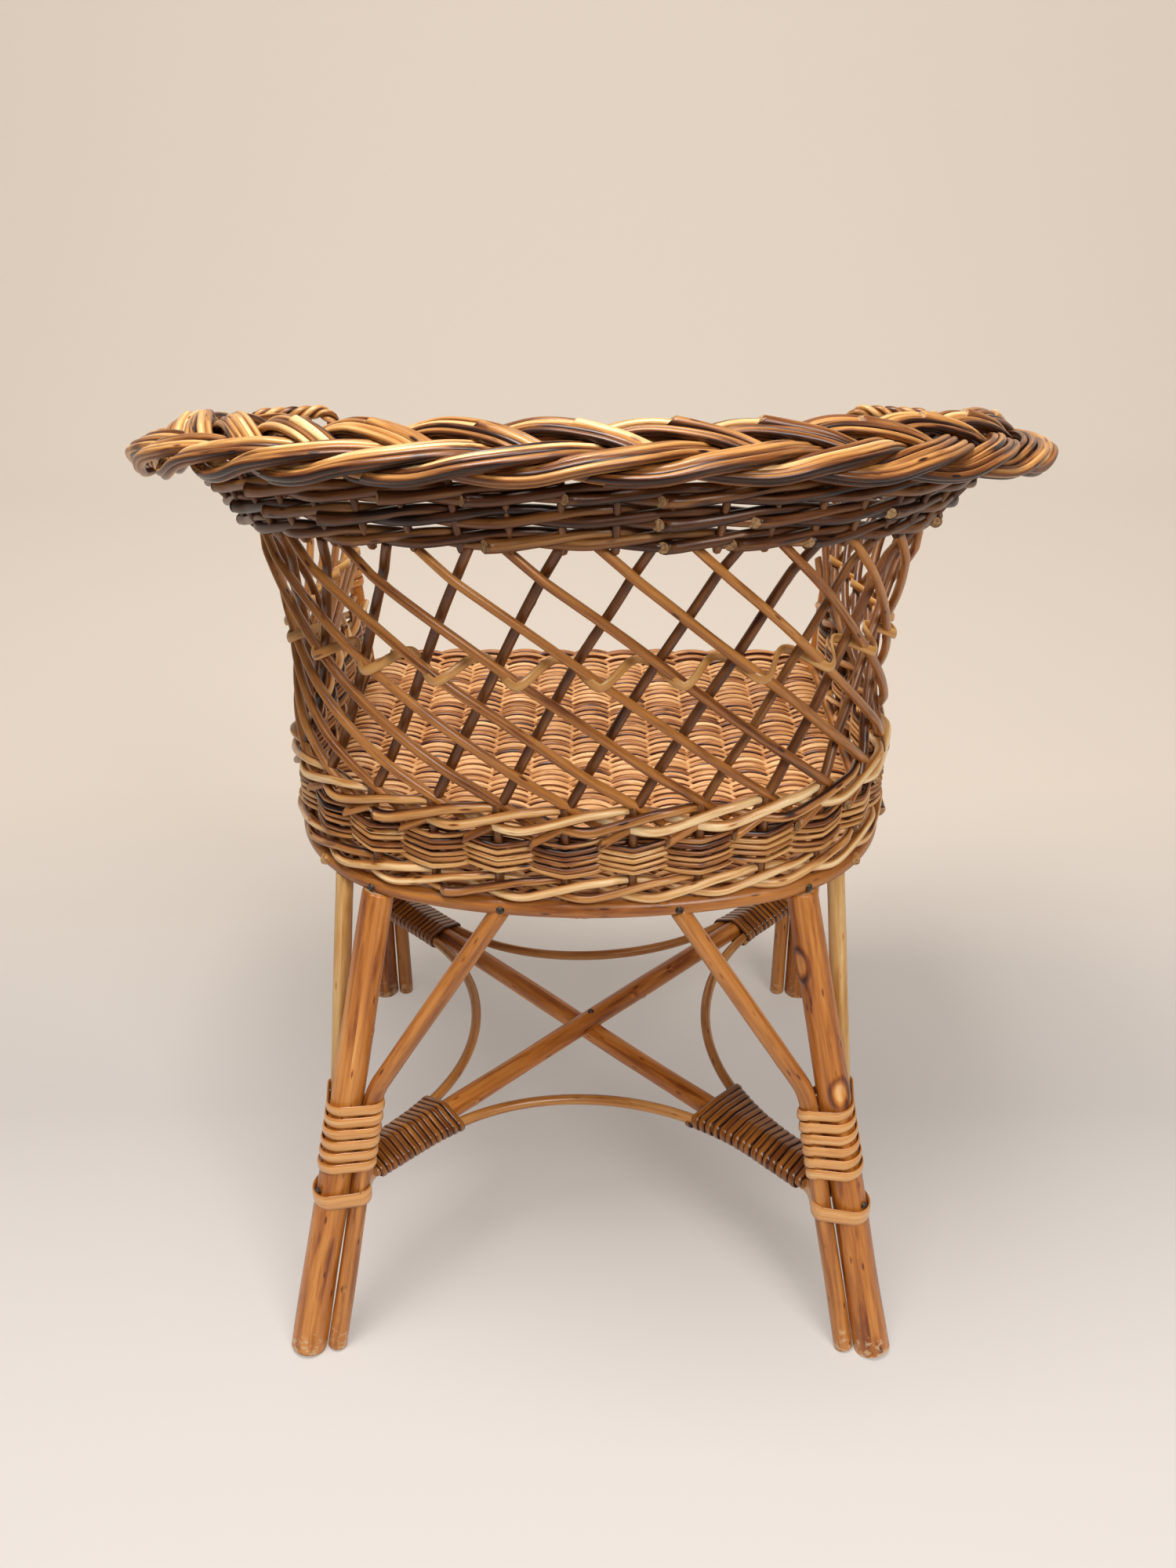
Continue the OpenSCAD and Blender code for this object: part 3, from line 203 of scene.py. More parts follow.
class Level:
    """The plan line of the chair at one height: a shallow arc across the back, a tighter arc
    round each back corner and a side that runs to the front, straight where r3 is 0. Its plane
    tilts up towards the back. Lengths s run along it from the middle of the back, + to +X."""

    def __init__(self, half, back, r1, r2, r3, z0, tilt, front):
        self.tilt = math.radians(tilt)
        c = math.cos(self.tilt)
        self.half, self.back, self.front, self.z0 = half, back / c, front / c, z0
        self.r1, self.r2, self.r3 = r1, r2, r3
        self.phi = math.asin((half - r2) / (r1 - r2))
        self.yc = self.back - r1 + (r1 - r2) * math.cos(self.phi)
        self.run1 = r1 * self.phi
        self.run2 = r2 * (math.pi / 2 - self.phi)
        self.run3 = r3 * math.asin((self.yc - self.front) / r3) if r3 else self.yc - self.front
        self.length = self.run1 + self.run2 + self.run3

    def angle(self, s):
        """Angle of the outward direction from +Y."""
        a = np.abs(s)
        b, c = a - self.run1, a - self.run1 - self.run2
        last = math.pi / 2 + (c / self.r3 if self.r3 else 0 * c)
        return np.where(b < 0, a / self.r1, np.where(c < 0, self.phi + b / self.r2, last))

    def at(self, s, out=0.0, up=0.0):
        """Points at s, moved outwards and up."""
        s = np.asarray(s, float)
        t, m, c = self.angle(s), np.where(s < 0, -1.0, 1.0), np.abs(s) - self.run1 - self.run2
        arc1 = self.r1 * np.sin(t), self.back - self.r1 + self.r1 * np.cos(t)
        arc2 = self.half - self.r2 + self.r2 * np.sin(t), self.yc + self.r2 * np.cos(t)
        if self.r3:
            side = self.half - self.r3 + self.r3 * np.sin(t), self.yc + self.r3 * np.cos(t)
        else:
            side = np.full_like(t, self.half), self.yc - c
        first, second = np.abs(s) < self.run1, c < 0
        x = np.where(first, arc1[0], np.where(second, arc2[0], side[0])) + out * np.sin(t)
        y = np.where(first, arc1[1], np.where(second, arc2[1], side[1])) + out * np.cos(t)
        ct, st = math.cos(self.tilt), math.sin(self.tilt)
        return np.stack([m * x, y * ct - up * st, self.z0 + y * st + up * ct], -1)

    def outward(self, s):
        s = np.asarray(s, float)
        t, m = self.angle(s), np.where(s < 0, -1.0, 1.0)
        return np.stack([m * np.sin(t), np.cos(t) * math.cos(self.tilt), np.cos(t) * math.sin(self.tilt)], -1)


def circle(n):
    a = np.linspace(0, 2 * np.pi, n + 1)[:-1]
    return np.stack([np.cos(a), np.sin(a)], 1)


class Rod:
    """One rod, pole or strip of cane: points p along its middle, the direction side that its
    profile's x axis faces, and half its thickness along that direction and across it. cut is
    the slope of its cut ends, lump moves single points of the skin outwards."""

    def __init__(self, p, side, r, r2=None, tone=0.5, cut=0.0, lump=None, bevel=0.18):
        self.p, self.side = np.asarray(p, float), np.broadcast_to(np.asarray(side, float), np.shape(p))
        n = len(self.p)
        self.ra = np.broadcast_to(np.asarray(r, float), n)
        self.rb = self.ra if r2 is None else np.broadcast_to(np.asarray(r2, float), n)
        self.tone, self.cut, self.lump, self.bevel = float(tone), cut, lump, bevel


def skin(rod, profile, rng):
    """Verts (n + 2 rings of m points, then 2 poles), quads, end triangles and their UVs. Ring i
    is p + x ra c + y rb s, where x is side squared to the travel t and y = t cross x. The first
    and last rings are doubled and drawn in by the bevel, so that the cut end has a soft edge."""
    p, c = rod.p, profile
    m = len(c)
    t = unit(np.gradient(p, axis=0))
    x = unit(rod.side - t * np.sum(rod.side * t, 1)[:, None])
    y = np.cross(t, x)
    wide, high = rod.ra[:, None, None], rod.rb[:, None, None]
    ring = x[:, None] * wide * c[None, :, :1] + y[:, None] * high * c[None, :, 1:]
    if rod.lump is not None:
        ring = ring + unit(ring) * rod.lump[..., None]
    verts = p[:, None] + ring
    ends = []
    for i, sign in ((0, -1.0), (-1, 1.0)):
        lean = rod.cut * c[:, :1] * rod.ra[i] * t[i]
        verts[i] = verts[i] + lean - sign * rod.bevel * min(rod.ra[i], rod.rb[i]) * t[i]
        ends.append(p[i] + (1 - rod.bevel) * (ring[i] + lean))
    verts = np.concatenate([ends[0][None], verts, ends[1][None]])
    verts[..., 2] = np.maximum(verts[..., 2], 0.0)
    n = len(verts)
    run = np.r_[0.0, np.cumsum(np.linalg.norm(np.diff(verts.mean(1), axis=0), axis=1))]
    around = np.linspace(0, 2 * np.pi, m + 1) * float(np.mean(rod.ra + rod.rb)) / 2
    i, j = np.meshgrid(np.arange(n - 1), np.arange(m), indexing="ij")
    i, j = i.ravel(), j.ravel()
    k = (j + 1) % m
    quads = np.stack([i * m + j, i * m + k, (i + 1) * m + k, (i + 1) * m + j], 1)
    u0 = rng.uniform(0, 4000)
    corners = ((i, j), (i, j + 1), (i + 1, j + 1), (i + 1, j))
    quad_uv = np.stack([np.stack([run[a] + u0, around[b]], 1) for a, b in corners], 1)
    a, b = np.arange(m), (np.arange(m) + 1) % m
    poles = np.stack([ends[0].mean(0), ends[1].mean(0)])
    low = np.stack([np.full(m, n * m), b, a], 1)
    top = np.stack([np.full(m, n * m + 1), (n - 1) * m + a, (n - 1) * m + b], 1)
    disc = c * float(rod.ra[0])
    tri_uv = np.stack([np.zeros((m, 2)), disc[b], disc[a]], 1)
    tri_uv = np.concatenate([tri_uv, tri_uv[:, [0, 2, 1]]]) + [u0, 0]
    return np.concatenate([verts.reshape(-1, 3), poles]), quads, quad_uv, np.concatenate([low, top]), tri_uv


def make(name, rods, profile, wood, cut_wood, node, seed):
    """One piece from a list of rods, shown in place of the node: skins them, joins them in one
    mesh in metres, gives the cut ends their own material and each point the tone of its rod."""
    rng = default_rng(seed)
    skins = [skin(r, profile, rng) for r in rods]
    starts = np.r_[0, np.cumsum([len(s[0]) for s in skins])][:-1]
    verts = np.concatenate([s[0] for s in skins]) * MM
    quads = np.concatenate([s[1] + b for s, b in zip(skins, starts)])
    tris = np.concatenate([s[3] + b for s, b in zip(skins, starts)])
    uv = np.concatenate([np.concatenate([s[2] for s in skins]).reshape(-1, 2),
                         np.concatenate([s[4] for s in skins]).reshape(-1, 2)]) * MM
    mesh = bpy.data.meshes.new(name)
    mesh.vertices.add(len(verts))
    mesh.vertices.foreach_set("co", verts.ravel())
    mesh.loops.add(4 * len(quads) + 3 * len(tris))
    mesh.loops.foreach_set("vertex_index", np.concatenate([quads.ravel(), tris.ravel()]).astype(np.int32))
    mesh.polygons.add(len(quads) + len(tris))
    mesh.polygons.foreach_set("loop_start", np.concatenate(
        [4 * np.arange(len(quads)), 4 * len(quads) + 3 * np.arange(len(tris))]).astype(np.int32))
    ends = np.r_[np.zeros(len(quads)), np.ones(len(tris))]
    mesh.polygons.foreach_set("use_smooth", ends == 0)
    mesh.polygons.foreach_set("material_index", ends.astype(np.int32))
    mesh.uv_layers.new(name="lay").uv.foreach_set("vector", uv.ravel())
    # painted shade: the mark made from this is highest on the flanks of each profile, where a rod lies
    # against the next, and the shader darkens the colour there
    flank_shade = np.abs(profile[:, 1]) ** 4
    marks = {"tone": [np.full(len(s[0]), r.tone) for s, r in zip(skins, rods)],
             "scar": [np.zeros(len(s[0])) if r.lump is None else
                      np.r_[np.pad(r.lump, ((1, 1), (0, 0))).ravel(), 0, 0] for s, r in zip(skins, rods)],
             "groove_shade": [np.r_[np.tile(flank_shade, (len(s[0]) - 2) // len(flank_shade)), 0, 0] for s in skins]}
    for mark, values in marks.items():
        data = mesh.attributes.new(mark, "FLOAT", "POINT").data
        data.foreach_set("value", np.concatenate(values).astype(np.float32))
    mesh.materials.append(wood)
    mesh.materials.append(cut_wood)
    mesh.update(calc_edges=True)
    mesh.validate()
    piece = bpy.data.objects.new(name, mesh)
    bpy.context.collection.objects.link(piece)
    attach(piece, "root")
    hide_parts(node)


def willow(name, stops, rough, coat, bump=0.25, along=18.0, across=330.0, patch=0.35, specks=0.5,
           feet=False, grain=1.3, groove_shade=0.0):
    """Varnished willow: streaks along the rod, blotches where bark or sap stained it, dark specks
    where buds sat, a darker ring round each scar with a pale heart, and painted shade on the
    flanks of each rod, in the grooves beside the next rod. stops run from the darkest to the palest."""
    g = Graph(name)
    lay = g.add("SeparateXYZ", i0=g.add("UVMap")[0])

    def mark(which):
        return g.add("Attribute", [("attribute_name", which)])["Fac"]

    tone, scar = mark("tone"), mark("scar")

    def stretched(u, v):
        parts = [g.math("MULTIPLY", a, b) for a, b in ((lay[0], u), (lay[1], v), (tone, 9.0))]
        return g.add("CombineXYZ", i0=parts[0], i1=parts[1], i2=parts[2])[0]

    streak = g.noise(stretched(along, across), 1.0, 4.0, Roughness=0.6)
    blotch = g.noise(stretched(along * 1.3, 130.0), 1.0, 3.0, Roughness=0.55)
    bud = g.add("TexVoronoi", Vector=stretched(46.0, 190.0), Scale=1.0)[0]
    mix = g.math("ADD", g.math("MULTIPLY_ADD", streak, grain, -grain / 2), tone)
    for dark in (g.span(blotch, 0.56, 0.72, 0.0, patch), g.span(bud, 0.05, 0.16, specks, 0.0),
                 g.span(scar, 0.05, 0.6, 0.0, 0.3)):
        mix = g.math("SUBTRACT", mix, dark)
    mix = g.math("ADD", mix, g.span(scar, -0.02, -0.25, 0.0, 0.36))
    # painted shade: darkens the flanks of each rod
    if groove_shade:
        mix = g.math("MULTIPLY_ADD", mark("groove_shade"), -groove_shade, mix)
    stops = stops.split()
    colour = g.ramp(mix, [(i / (len(stops) - 1), linear(c)) for i, c in enumerate(stops)])
    if feet:
        where = g.add("TexCoord")["Object"]
        low = g.span(g.add("SeparateXYZ", i0=where)[2], 0.001, 0.04, 0.13, -0.2)
        worn = g.span(g.math("ADD", g.noise(where, 230.0, 5.0, Roughness=0.7), low), 0.58, 0.68, 0.0, 0.7)
        colour = g.add("Mix", [("data_type", "RGBA")], i0=worn, i6=colour, i7=linear("d9b88c"))[2]
    relief = g.bump(g.math("MULTIPLY_ADD", blotch, 0.8, streak), bump, 0.0006)
    return g.shader(Base_Color=colour, Roughness=g.span(streak, 0.3, 0.7, *rough),
                    Specular_IOR_Level=0.35, Coat_Weight=coat, Coat_Roughness=0.22, Normal=relief)


def pith(name, pale, dark):
    """The cut end of a rod: paler wood mottled with darker spots, and rough saw marks."""
    g = Graph(name)
    grain = g.noise(g.add("TexCoord")["Object"], 900.0, 4.0)
    colour = g.ramp(grain, [(0.3, linear(dark)), (0.65, linear(pale))])
    return g.shader(Base_Color=colour, Roughness=0.75, Normal=g.bump(grain, 0.6, 0.0004))


pole_wood = willow("varnished willow pole", "4a1e06 8a4614 be742c da964c efbd7c",
                   (0.3, 0.52), 0.35, along=14.0, across=190.0, patch=0.26, specks=0.45, feet=True,
                   grain=1.15)
pole_end = pith("sawn pole end", "d8b184", "a87a4a")

# Sizes of the frame, the same as in the CAD model
OVERALL_W, OVERALL_D, OVERALL_H = 490.0, 377.0, 541.0
BACK_Y, FRONT_Y = OVERALL_D / 2, -OVERALL_D / 2
SEAT_H, HOOP_D = 288.0, 9.8
HOOP_FRONT_Y = FRONT_Y + 4 + HOOP_D / 2
BAND_FRONT_Y = FRONT_Y + 27
HOOP_BACK_R, HOOP_CORNER_R, HOOP_FRONT_R = 285, 100, 22
hoop = Level(163 - HOOP_D / 2, BACK_Y - 48.5 - HOOP_D / 2, HOOP_BACK_R, HOOP_CORNER_R, 0, SEAT_H, 0,
             HOOP_FRONT_Y + HOOP_FRONT_R)
CORNERS = ["back_left", "back_right", "front_left", "front_right"]
CX, CY = [1, -1, 1, -1], [1, 1, -1, -1]
LEG_HEAD_Z = SEAT_H - HOOP_D / 2 + 0.4
LEG_FOOT_D, LEG_TOP_D = 20.5, 16.5


def foot_at(k):
    back, front = (CX[k] * 165.0, BACK_Y - 25, 0), (CX[k] * 167.0, FRONT_Y + LEG_FOOT_D / 2, 0)
    return np.array(back if CY[k] > 0 else front)


def hoop_run(k, run):
    if CY[k] > 0:
        return hoop.at(CX[k] * (114 + run))
    return np.array([CX[k] * hoop.half, FRONT_Y + 38.5 + run, SEAT_H])


def leg_at(k, z):
    head = hoop_run(k, 0) * [1, 1, 0] + [0, 0, LEG_HEAD_Z]
    return lerp(foot_at(k), head, np.asarray(z, float)[..., None] / LEG_HEAD_Z)


def leg_r(z):
    return lerp(LEG_FOOT_D, LEG_TOP_D, np.asarray(z, float) / LEG_HEAD_Z) / 2


def wander(p, amount, rng, still=0.0):
    """A grown rod is never quite straight: adds three slow waves in random directions, which
    fade out at both ends."""
    u = np.linspace(0, 1, len(p))
    fade = np.sin(np.pi * u) ** 0.5 if not still else np.clip(np.minimum(u, 1 - u) / still, 0, 1)
    way = rng.normal(size=(3, 3))
    wave = [np.sin(2 * np.pi * (k + 1) * u + rng.uniform(0, 6.28)) / (k + 1) for k in range(3)]
    return p + amount * fade[:, None] * (np.stack(wave, 1) @ way) / 2


def knots(n, m, spots):
    """Lumps on a skin of n rings and m sides: each spot is (ring share, side share, ring spread,
    side spread, height) of an oval scar, raised at its rim and hollow in its middle."""
    u, v = np.linspace(0, 1, n)[:, None], np.arange(m)[None] / m
    total = np.zeros((n, m))
    for a, b, wide_u, wide_v, high in spots:
        gap = np.abs(v - b)
        d = np.sqrt(((u - a) / wide_u) ** 2 + (np.minimum(gap, 1 - gap) / wide_v) ** 2)
        total += high * (np.exp(-((d - 1) / 0.22) ** 2) - 0.5 * np.exp(-(d / 0.7) ** 4))
    return total


def legs():
    sides = 64
    spots = [[(0.43, 0.9, 0.008, 0.05, 0.35), (0.72, 0.2, 0.006, 0.06, 0.3)],
             [(0.865, 0.85, 0.032, 0.1, 0.7), (0.6, 0.06, 0.03, 0.1, 0.6), (0.12, 0.5, 0.01, 0.05, 0.3)],
             [(0.5, 0.3, 0.01, 0.08, 0.5)], [(0.65, 0.6, 0.012, 0.07, 0.5)]]
    for k, corner in enumerate(CORNERS):
        rng = default_rng(40 + k)
        z = np.linspace(0, LEG_HEAD_Z, 260)
        swell = 1 + 0.012 * np.sin(z / 31 + 2 * k) + 0.01 * np.sin(z / 13 + k)
        rod = Rod(wander(leg_at(k, z), 0.5, rng), [0, 1, 0], leg_r(z) * swell,
                  tone=[0.52, 0.45, 0.4, 0.4][k], lump=knots(len(z), sides, spots[k]), bevel=0.12)
        make("leg_pole_" + corner, [rod], circle(sides), pole_wood, pole_end, "leg_" + corner,
             seed=k)


legs()


# Braces
# A thinner pole stands beside each leg from the floor, bends away above the cane binding and
# runs up under the hoop. A short straight brace leaves each binding towards the side.
def bent(points, radius, step=2.5):
    """Evenly spaced points along straight lengths joined by arcs of that radius."""
    points = [np.asarray(q, float) for q in points]
    parts, start = [], points[0]
    for i in range(1, len(points) - 1):
        u, v = unit(points[i - 1] - points[i]), unit(points[i + 1] - points[i])
        half = math.acos(np.clip(u @ v, -1, 1)) / 2
        reach = radius / math.tan(half)
        centre = points[i] + unit(u + v) * radius / math.sin(half)
        x, end = unit(points[i] + u * reach - centre), points[i] + v * reach
        y = unit(np.cross(np.cross(x, end - centre), x))
        bend = math.pi - 2 * half
        sweep = np.linspace(0, bend, max(4, int(bend * radius / step)))[:, None]
        arc = centre + radius * (np.cos(sweep) * x + np.sin(sweep) * y)
        count = max(2, int(np.linalg.norm(arc[0] - start) / step))
        parts += [np.linspace(start, arc[0], count)[:-1], arc[:-1]]
        start = arc[-1]
    parts.append(np.linspace(start, points[-1], max(3, int(np.linalg.norm(points[-1] - start) / step))))
    return np.concatenate(parts)


BRACE_D, KNEE_H, BRACE_TOP_X, SIDE_D = 10.2, 168.0, 45.0, 9.6
STRETCHER_H, STRETCHER_D, LAP = 105.0, 13.0, 4.5
SIDE_FOOT_Z = STRETCHER_H + STRETCHER_D / 2 + LAP + 3.5


def beside(k, z):
    """The middle of the pole beside leg k, on the side towards the middle of the chair."""
    z = np.asarray(z, float)
    r, a = leg_r(z) + BRACE_D / 2 + lerp(1.2, 0.5, z / KNEE_H), np.radians(10 * z / KNEE_H)
    return leg_at(k, z) + np.stack([-CX[k] * r * np.cos(a), CY[k] * r * np.sin(a), 0 * a], -1)


def side_at(k, z):
    """The middle of the short side brace of leg k."""
    low = leg_at(k, SIDE_FOOT_Z) + [CX[k] * 2, -CY[k] * (leg_r(SIDE_FOOT_Z) + SIDE_D / 2 + 0.5), 0]
    top = hoop_run(k, 26 if CY[k] > 0 else 34) * [1, 1, 0] + [0, 0, LEG_HEAD_Z]
    return lerp(low, top, (np.asarray(z, float)[..., None] - SIDE_FOOT_Z) / (LEG_HEAD_Z - SIDE_FOOT_Z))


def hoop_y(x):
    return hoop.back - hoop.r1 + np.sqrt(hoop.r1 ** 2 - x ** 2)


brace_wood = willow("varnished willow brace", "542708 8f4f1c bf7a36 d8944c ecbd82",
                    (0.3, 0.5), 0.35, along=16.0, across=230.0, patch=0.2, specks=0.4, feet=True,
                    grain=1.0)
side_wood = willow("pale willow brace", "8a5426 b5803f d0a060 e0bb80 ecd0a0",
                   (0.32, 0.5), 0.3, along=16.0, across=230.0, patch=0.25, specks=0.4)


def braces():
    for k, corner in enumerate(CORNERS):
        rng = default_rng(60 + k)
        top = [CX[k] * BRACE_TOP_X, hoop_y(BRACE_TOP_X) if CY[k] > 0 else HOOP_FRONT_Y, LEG_HEAD_Z + 1.5]
        p = bent([beside(k, 0), beside(k, KNEE_H), top], 45)
        r = np.interp(p[:, 2], [0, KNEE_H, LEG_HEAD_Z], [5.4, 5.1, 5.0])
        r = r * (1 + 0.015 * np.sin(p[:, 2] / 17 + k))
        spots = [(rng.uniform(0.1, 0.9), rng.uniform(0, 1), 0.006, 0.08, 0.25) for _ in range(3)]
        rod = Rod(wander(p, 0.35, rng), [0, 1, 0], r, tone=0.42 + 0.04 * k, lump=knots(len(p), 24, spots))
        make("bent_brace_" + corner, [rod], circle(24), brace_wood, pole_end, "brace_" + corner,
             seed=k)
        z = np.linspace(SIDE_FOOT_Z, LEG_HEAD_Z + 1.0, 60)
        rod = Rod(wander(side_at(k, z), 0.3, rng), [0, 1, 0], 4.8 + 0.06 * np.sin(z / 9), tone=0.5)
        make("short_brace_" + corner, [rod], circle(24), side_wood, pole_end,
             "side_brace_" + corner, seed=k)


braces()


# Stretchers and bows
# Two poles cross under the seat, let into each other a little, and run from leg to leg. A bowed
# rod springs from each stretcher to the next, so that the four make a rounded star.
def stretcher_z(k):
    return STRETCHER_H + (LAP if k in (0, 3) else -LAP)


def stretcher_end(k):
    return leg_at(k, STRETCHER_H) * [1, 1, 0] + [0, 0, stretcher_z(k)]


def crossing():
    a, b = stretcher_end(0), stretcher_end(2)
    return np.array([0, a[1] + (b[1] - a[1]) * a[0] / (a[0] + b[0]), 0])


def stretcher_way(k):
    return unit((crossing() - stretcher_end(k)) * [1, 1, 0])


def left_of(way):
    return np.array([-way[1], way[0], 0])


ARCH_D = 6.4
BOW_OFF = (STRETCHER_D + ARCH_D) / 2 + 0.3
BOW_START = LEG_FOOT_D / 2 + BRACE_D + 1.4
REACH = {(0, 1): 72.0, (2, 3): 78.0, (0, 2): 76.0, (1, 3): 76.0}


def bow_shape(k, j):
    """Apex of the two runs of a bow and its bend radius, in plan."""
    b, c = -stretcher_way(k), -stretcher_way(j)
    half = math.acos(b @ c) / 2
    apex = crossing() + unit(b + c) * BOW_OFF / math.sin(half)
    m = REACH[min(k, j), max(k, j)] - np.linalg.norm(apex - crossing())
    return apex, m * math.sin(half) / (1 - math.sin(half)), half, unit(b + c)


def bow_end(k, j):
    w = stretcher_way(k)
    n = left_of(w)
    p = stretcher_end(k) + w * BOW_START
    return p + np.sign((stretcher_end(j) - p) @ n) * BOW_OFF * n


bow_wood = willow("varnished willow rod", "7a4519 a86a2c c48a48 d6a565 e4be88",
                  (0.28, 0.48), 0.4, patch=0.25)


def stretchers_and_bows():
    for name, k in (("upper", 0), ("lower", 1)):
        rng = default_rng(80 + k)
        a, b = stretcher_end(k) + stretcher_way(k) * 8, stretcher_end(3 - k) + stretcher_way(3 - k) * 8
        p = np.linspace(a, b, 150)
        r = STRETCHER_D / 2 * (1 + 0.015 * np.sin(np.arange(150) / 11) + 0.01 * np.sin(np.arange(150) / 4.3))
        spots = [(rng.uniform(0.2, 0.8), rng.uniform(0.1, 0.4), 0.006, 0.07, 0.35) for _ in range(4)]
        rod = Rod(wander(p, 0.5, rng), [0, 0, 1], r, tone=0.46, lump=knots(150, 28, spots))
        make("stretcher_pole_" + name, [rod], circle(28), pole_wood, pole_end, "stretcher_" + name,
             seed=k)
    for side, k, j in (("back", 0, 1), ("front", 2, 3), ("left", 0, 2), ("right", 1, 3)):
        apex, radius, _, _ = bow_shape(k, j)
        p = bent([bow_end(k, j), apex + [0, 0, STRETCHER_H], bow_end(j, k)], radius)
        rng = default_rng(90 + k + j)
        r = ARCH_D / 2 * (1 + 0.03 * np.sin(np.arange(len(p)) / 9))
        rod = Rod(wander(p, 0.5, rng, 0.3), [0, 0, 1], r, tone=0.36)
        make("bowed_rod_" + side, [rod], circle(18), bow_wood, pole_end, "bow_" + side, seed=k + j)


stretchers_and_bows()


# Cane bindings
# Flat split cane, glossy on its outer face, wound wet and tight: six turns round each leg and
# its braces, a long winding round each stretcher end and the bows beside it, and one wider
# collar that slings each stretcher to its leg.
CANE_T, CANE_OFF = 1.2, 1.2
CANE = np.array([[-1, 0.93], [-1, -0.93], [-0.3, -1], [0.35, -0.86], [0.82, -0.5], [1, 0], [0.82, 0.5],
                 [0.35, 0.86], [-0.3, 1]])


def tucked(turn, over, depth):
    """How far a winding's two ends sink under its other turns, over that much turning."""
    return np.interp(np.minimum(turn, turn[-1] - turn), [0, over], [-depth, 0.0])


def pulled(circles, angle, off):
    """Where cane pulled tight round circles lies at each outward angle: circles is (n, c, 3),
    each x, y and radius, and the one that reaches farthest towards the angle carries it."""
    way = np.stack([np.cos(angle), np.sin(angle)], -1)
    reach = np.einsum("ncd,nd->nc", circles[..., :2], way) + circles[..., 2]
    far = np.take_along_axis(circles, np.argmax(reach, 1)[:, None, None], 1)[:, 0]
    return far[:, :2] + (far[:, 2:] + np.broadcast_to(off, angle.shape)[:, None]) * way


def leg_circles(k, z, count=3):
    """The leg, the pole beside it and its side brace, cut level at the heights z."""
    sets = [(leg_at(k, z), leg_r(z)), (beside(k, z), BRACE_D / 2 + 0 * z),
            (side_at(k, z), SIDE_D / 2 + 0 * z)]
    return np.stack([np.concatenate([p[:, :2], r[:, None]], 1) for p, r in sets[:count]], 1)


cane_skin = willow("glossy split cane", "6a3a10 b27030 d89652 e8b272 f4cf9c",
                   (0.24, 0.4), 0.55, bump=0.12, along=20.0, across=520.0, patch=0.14, specks=0.12,
                   grain=1.0, groove_shade=0.38)
dark_cane = willow("dark glossy split cane", "341604 703a0e 9e601c bc7c32 dcaa66",
                   (0.24, 0.4), 0.6, bump=0.12, along=20.0, across=560.0, patch=0.14, specks=0.08,
                   groove_shade=0.5)
cane_end = pith("cane end", "e6c99a", "b58d58")
LEG_CANE_Z = SIDE_FOOT_Z + 1.5


def leg_bindings():
    turns, wide = 6, 6.7
    for k, corner in enumerate(CORNERS):
        rng = default_rng(100 + k)
        n = turns * 72
        t = np.linspace(0, 2 * np.pi * turns, n + 1)
        start = math.atan2(-CY[k], -CX[k])
        lean = 1.3 * np.sin(t + start + [0.4, 2.6, 0.4, 2.6][k]) * [1, -0.8, 1, -0.8][k]
        uneven = np.interp(t, np.arange(turns + 2) * 2 * np.pi, np.cumsum(rng.normal(0, 0.22, turns + 2)))
        foot = LEG_CANE_Z - (2.5 if k in (1, 2) else 0.8)
        z = foot + (LEG_CANE_Z + 41.5 - foot) * t / t[-1] + lean + uneven
        q = pulled(leg_circles(k, z), t + start, CANE_OFF + tucked(t, 0.5, 1.5))
        side = np.stack([np.cos(t + start), np.sin(t + start), 0 * t], 1)
        rod = Rod(np.c_[q, z], side, CANE_T / 2, wide / 2, tone=0.62)
        make("leg_winding_" + corner, [rod], CANE, cane_skin, cane_end, "leg_binding_" + corner,
             seed=k)


def bow_circle(k, j, t):
    """Circle of the bow towards stretcher j, seen along stretcher k at the lengths t."""
    w, (apex, radius, half, way) = stretcher_way(k), bow_shape(k, j)
    n = left_of(w)
    centre = apex + way * radius / math.sin(half) - stretcher_end(k) * [1, 1, 0]
    run, off = centre @ w, abs(centre @ n)
    side = np.where(t < run, BOW_OFF, off - np.sqrt(np.maximum(radius ** 2 - (t - run) ** 2, 1.0)))
    slope = np.gradient(side, t)
    length = np.linalg.norm(apex - bow_end(k, j) * [1, 1, 0])
    drop = (stretcher_z(j) - stretcher_z(k)) / 2 * np.clip((t - BOW_START) / length, 0, 1)
    return np.stack([np.sign((stretcher_end(j) - stretcher_end(k)) @ n) * side, drop,
                     ARCH_D / 2 * np.sqrt(1 + slope ** 2)], -1)


